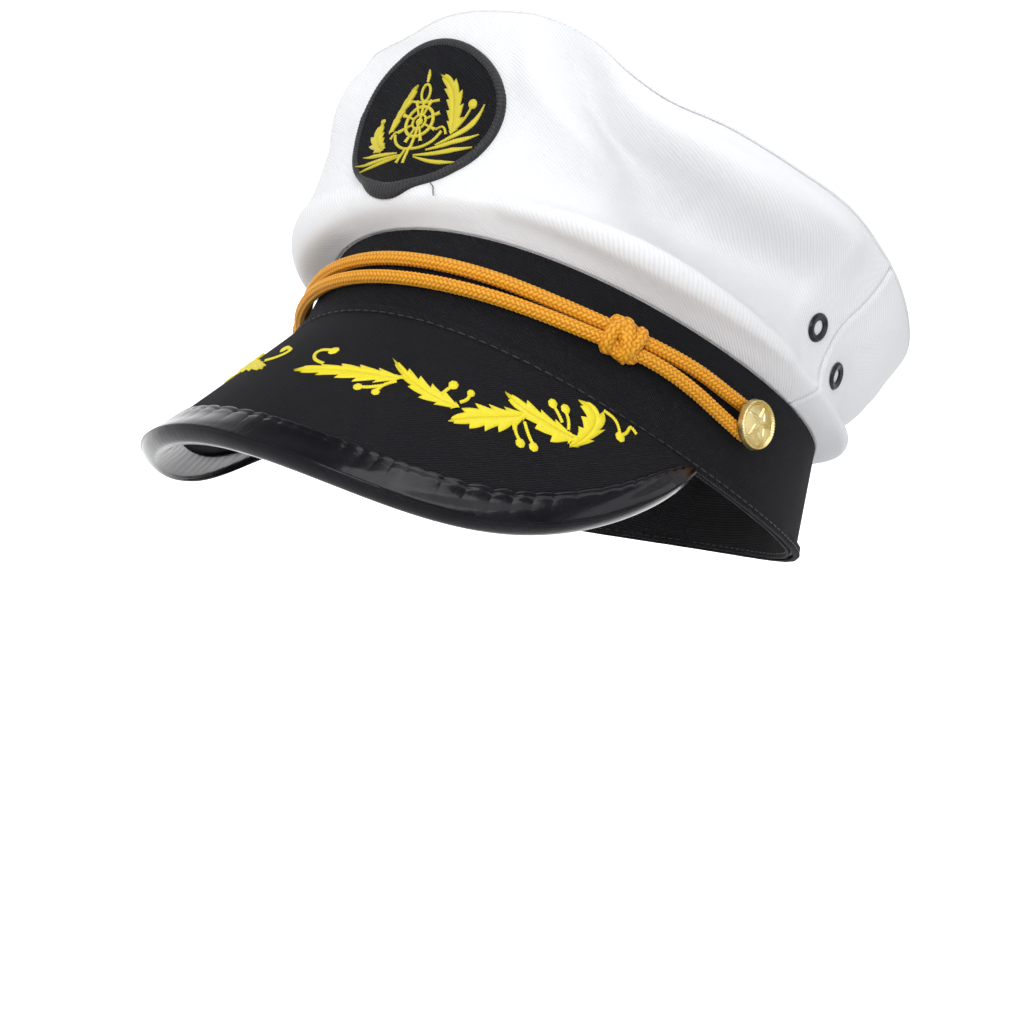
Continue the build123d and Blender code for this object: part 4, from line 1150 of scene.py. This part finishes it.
for sideName, side in (("left", 1), ("right", -1)):
    origin = bandPoint(side * button["angle"], button["height"])
    normal, up = bandNormal(side * button["angle"]), np.array([0, 0, 1.0])
    across = np.cross(normal, up)
    radius = button["radius"]
    r = np.concatenate([np.linspace(0.02, radius - 1.35, 62), np.linspace(radius - 1.3, radius, 16)])
    phi = np.linspace(0, 2 * np.pi, 260, endpoint=False)
    rr, pp = np.meshgrid(r, phi, indexing="ij")
    near, inside = starReach(rr * np.cos(pp), rr * np.sin(pp))
    height = button["face"] + 0.55 + button["dome"] * (1 - (rr / radius) ** 2)
    centreRay = np.abs(np.sin(2.5 * pp)) * rr
    facet = np.exp(-((centreRay / 0.5) ** 2)) * 0.28 * inside * smooth(5.2, 3.6, rr)
    height += button["ridge"] * np.exp(-((near / 0.30) ** 2)) + 0.12 * inside + facet
    knurl = np.abs(np.sin(button["knurls"] / 2 * pp + (rr - radius) * 1.6))
    rope = np.exp(-(((rr - radius + 0.62) / 0.42) ** 2))
    height += rope * (0.62 + 0.34 * knurl) - 0.9 * smooth(radius - 0.30, radius, rr)
    groove = -0.22 * np.exp(-(((rr - radius + 1.35) / 0.22) ** 2))
    height = height + groove
    under = [(radius + 0.02, -0.55), (radius - 0.25, -0.75), (radius - 0.9, -0.55)]
    under += [(radius - 1.2, 0.05), (3.0, 0.15), (0.05, 0.2)]
    rr = np.concatenate([rr, [[u] * 260 for u, _ in under]])
    height = np.concatenate([height, [[button["face"] + h] * 260 for _, h in under]])
    pp = np.concatenate([pp, [phi] * len(under)])
    points = origin + (up * (rr * np.cos(pp))[..., None] + across * (rr * np.sin(pp))[..., None])
    points = points + normal * height[..., None]
    piece = addGrid("button" + sideName.title() + "Shell", points, close=(False, True), flip=True)
    fit(piece, "gilt_metal", "button_" + sideName, "button_" + sideName + "_shell")
print("buttons ready")


# inside: sweatband with its stitches, buckram, seam tapes
def bandStrip(name, slotName, node, depth, low, high, thickness, ribs=0.0):
    angles = np.linspace(-180, 180, 721)[:-1]
    bottom, top = bandEdges(angles)
    t = np.linspace(0, 1, 40)
    z = bottom[:, None] + low + (top - high - bottom - low)[:, None] * t
    out = -depth + ribs * np.sin(z * 2.2) + 0.12 * np.sin(np.radians(angles) * 23)[:, None] * (1 - t) ** 2
    points = bandPoint(angles[:, None] + 0 * z, z, out)
    points = np.concatenate([points, points[:1]])
    uv = np.stack([np.append(angles, 180)[:, None] * 1.65 + 0 * points[..., 2], points[..., 2]], -1)
    return fit(addGrid(name, points, uv, thickness=thickness), slotName, "cap", node)


bandStrip("sweatband", "sweatband_tape", "sweatband", 1.95, 0.5, 5.0, 1.0, 0.05)
sweatStitches = Parts()
around = np.linspace(-179.5, 179.5, 500)
stitchLine(
    sweatStitches, bandPoint(around, bandEdges(around)[0] + 2.0, -3.1), -bandNormal(around), 2.6, 1.0, 0.2
)
fit(sweatStitches.build("sweatbandStitches"), "black_thread", "cap")


def liningStrip(parts, start, end, low, high, depth, count):
    a, s = np.meshgrid(np.linspace(start, end, count), np.linspace(low, high, 30), indexing="ij")
    plain = crownPoint(a, s, -depth)
    run = np.cumsum(np.linalg.norm(np.diff(plain, axis=1, prepend=plain[:, :1]), axis=2), axis=1)
    parts.append((plain, np.stack([a * crown["perDegree"], run], -1)))


def liningPiece(name, slotName, node, strips, thickness):
    shapes = []
    for strip in strips:
        liningStrip(shapes, *strip)
    points = np.concatenate([p.reshape(-1, 3) for p, _ in shapes])
    uv = np.concatenate([u.reshape(-1, 2) for _, u in shapes])
    faces, start = [], 0
    for p, _ in shapes:
        faces += (np.array(gridFaces(*p.shape[:2])) + start).tolist()
        start += p.shape[0] * p.shape[1]
    piece = addMesh(name, points, faces, uv)
    wall = piece.modifiers.new("thickness", "SOLIDIFY")
    wall.thickness, wall.offset = thickness * millimetre, -1.0
    return fit(piece, slotName, "cap", node)


liningPiece("crownStiffener", "buckram", "crown_front_stiffener", ((-26, 26, 0.06, 0.89, 1.9, 60),), 0.8)
seams = [(c - 2.4, c + 2.4, 0.6, 0.90, 2.2, 8) for c in (sideSeam, 180, -sideSeam)]
liningPiece("crownSeamTapes", "seam_tape", "crown_seam_tapes", seams, 0.4)
rims = ((-89, 89, 0.92, 0.975, 2.6, 180), (91, 269, 0.92, 0.975, 2.6, 180))
liningPiece("crownRimTape", "seam_tape", "crown_rim_tape", rims, 0.4)

# CAD nodes that keep their own shape
for slotRow in frame["record"]["subparts"]:
    node = cadNodes[slotRow["node"]]
    if not node.hide_render:
        node.data.materials.clear()
        node.data.materials.append(finishes[slotRow["material_slot"]])
print("inside ready")

# studio: pale bowl, soft lights, camera below the band and in front of the wearer's left
studio = {
    "floor": -0.75, "radius": 1.5, "bend": 1.0, "wall": 2.6, "bowl": (0.9, 0.9, 0.905),
    "glow": 0.85, "dim": 0.08, "behind": (-0.67, 0.74, 0.0),
    "camera": (0.27943, -0.3165, -0.11338), "lens": 42.07,
    "right": (0.744, 0.587, 0.319), "up": (-0.112, -0.361, 0.926),
}
profile = [(0.02, 0.0), (0.8, 0.0), (studio["radius"], 0.0)]
profile += [
    (studio["radius"] + studio["bend"] * np.sin(t), studio["bend"] * (1 - np.cos(t)))
    for t in np.linspace(0, np.pi / 2, 16)[1:]
]
profile.append((studio["radius"] + studio["bend"], studio["bend"] + studio["wall"]))
a = np.linspace(0, 2 * np.pi, 96, endpoint=False)
bowl = [[(r * np.cos(t), r * np.sin(t), z + studio["floor"]) for t in a] for r, z in profile]
bowl = np.array(bowl) / millimetre
floor = addGrid("studioFloor", bowl, close=(False, True), flip=True)
pale = Finish("paleGlowingPaper", {"Roughness": 0.9, "Emission Strength": studio["glow"]})
cloudy = pale.noise(3.0, 2.0)
tone = pale.mix(cloudy * 0.05, studio["bowl"], (0.88, 0.88, 0.885))
# painted light: the bowl glows like a lamp, bright behind the cap and dim on the other sides
place = pale.node("TexCoord", {}, {}, 3)
behind = pale.node("VectorMath", {"operation": "DOT_PRODUCT"}, {0: place, 1: studio["behind"]}, 1)
dim = (studio["dim"],) * 3
pale.feed(pale.shader.inputs["Emission Color"], pale.mix(behind.between(0.9, 1.6), dim, tone))
floor.data.materials.append(pale.surface(tone, 0.9))


def softLight(name, place, aim, size, power, colour=(1.0, 1.0, 1.0)):
    light = bpy.data.lights.new(name, "AREA")
    light.shape, light.size, light.size_y = "RECTANGLE", *size
    light.energy, light.color = power, colour
    lamp = bpy.data.objects.new(name, light)
    lamp.location = place
    lamp.visible_camera = False
    lamp.rotation_euler = (Vector(aim) - Vector(place)).to_track_quat("-Z", "Y").to_euler()
    bpy.context.scene.collection.objects.link(lamp)


softLight("keyLight", (0.30, -0.50, 0.75), (0.0, -0.03, 0.04), (0.4, 0.4), 1.9)
softLight("topLight", (0.12, -0.05, 0.72), (0.0, 0.0, 0.0), (0.5, 0.5), 1.1)
softLight("frontLight", (0.45, -1.1, -0.15), (0.0, 0.0, 0.0), (0.5, 0.5), 5.0)
softLight("sideLight", (1.3, 0.1, 0.35), (0.0, 0.0, 0.04), (0.6, 0.6), 0.5)

world = bpy.data.worlds.new("studioWorld")
world.use_nodes = True
world.node_tree.nodes["Background"].inputs[0].default_value = (1.0, 1.0, 1.0, 1.0)
world.node_tree.nodes["Background"].inputs[1].default_value = 0.3
bpy.context.scene.world = world

camera = bpy.data.objects.new("camera", bpy.data.cameras.new("camera"))
camera.data.sensor_width, camera.data.lens = 36.0, studio["lens"]
camera.data.clip_start, camera.data.clip_end = 0.01, 50.0
right, up = Vector(studio["right"]).normalized(), Vector(studio["up"])
back = right.cross(up).normalized()
up = back.cross(right)
turned = Matrix((right, up, back)).transposed().to_4x4()
camera.matrix_world = Matrix.Translation(studio["camera"]) @ turned
bpy.context.scene.collection.objects.link(camera)
bpy.context.scene.camera = camera
bpy.context.scene.view_settings.view_transform = "Standard"
print("studio ready")
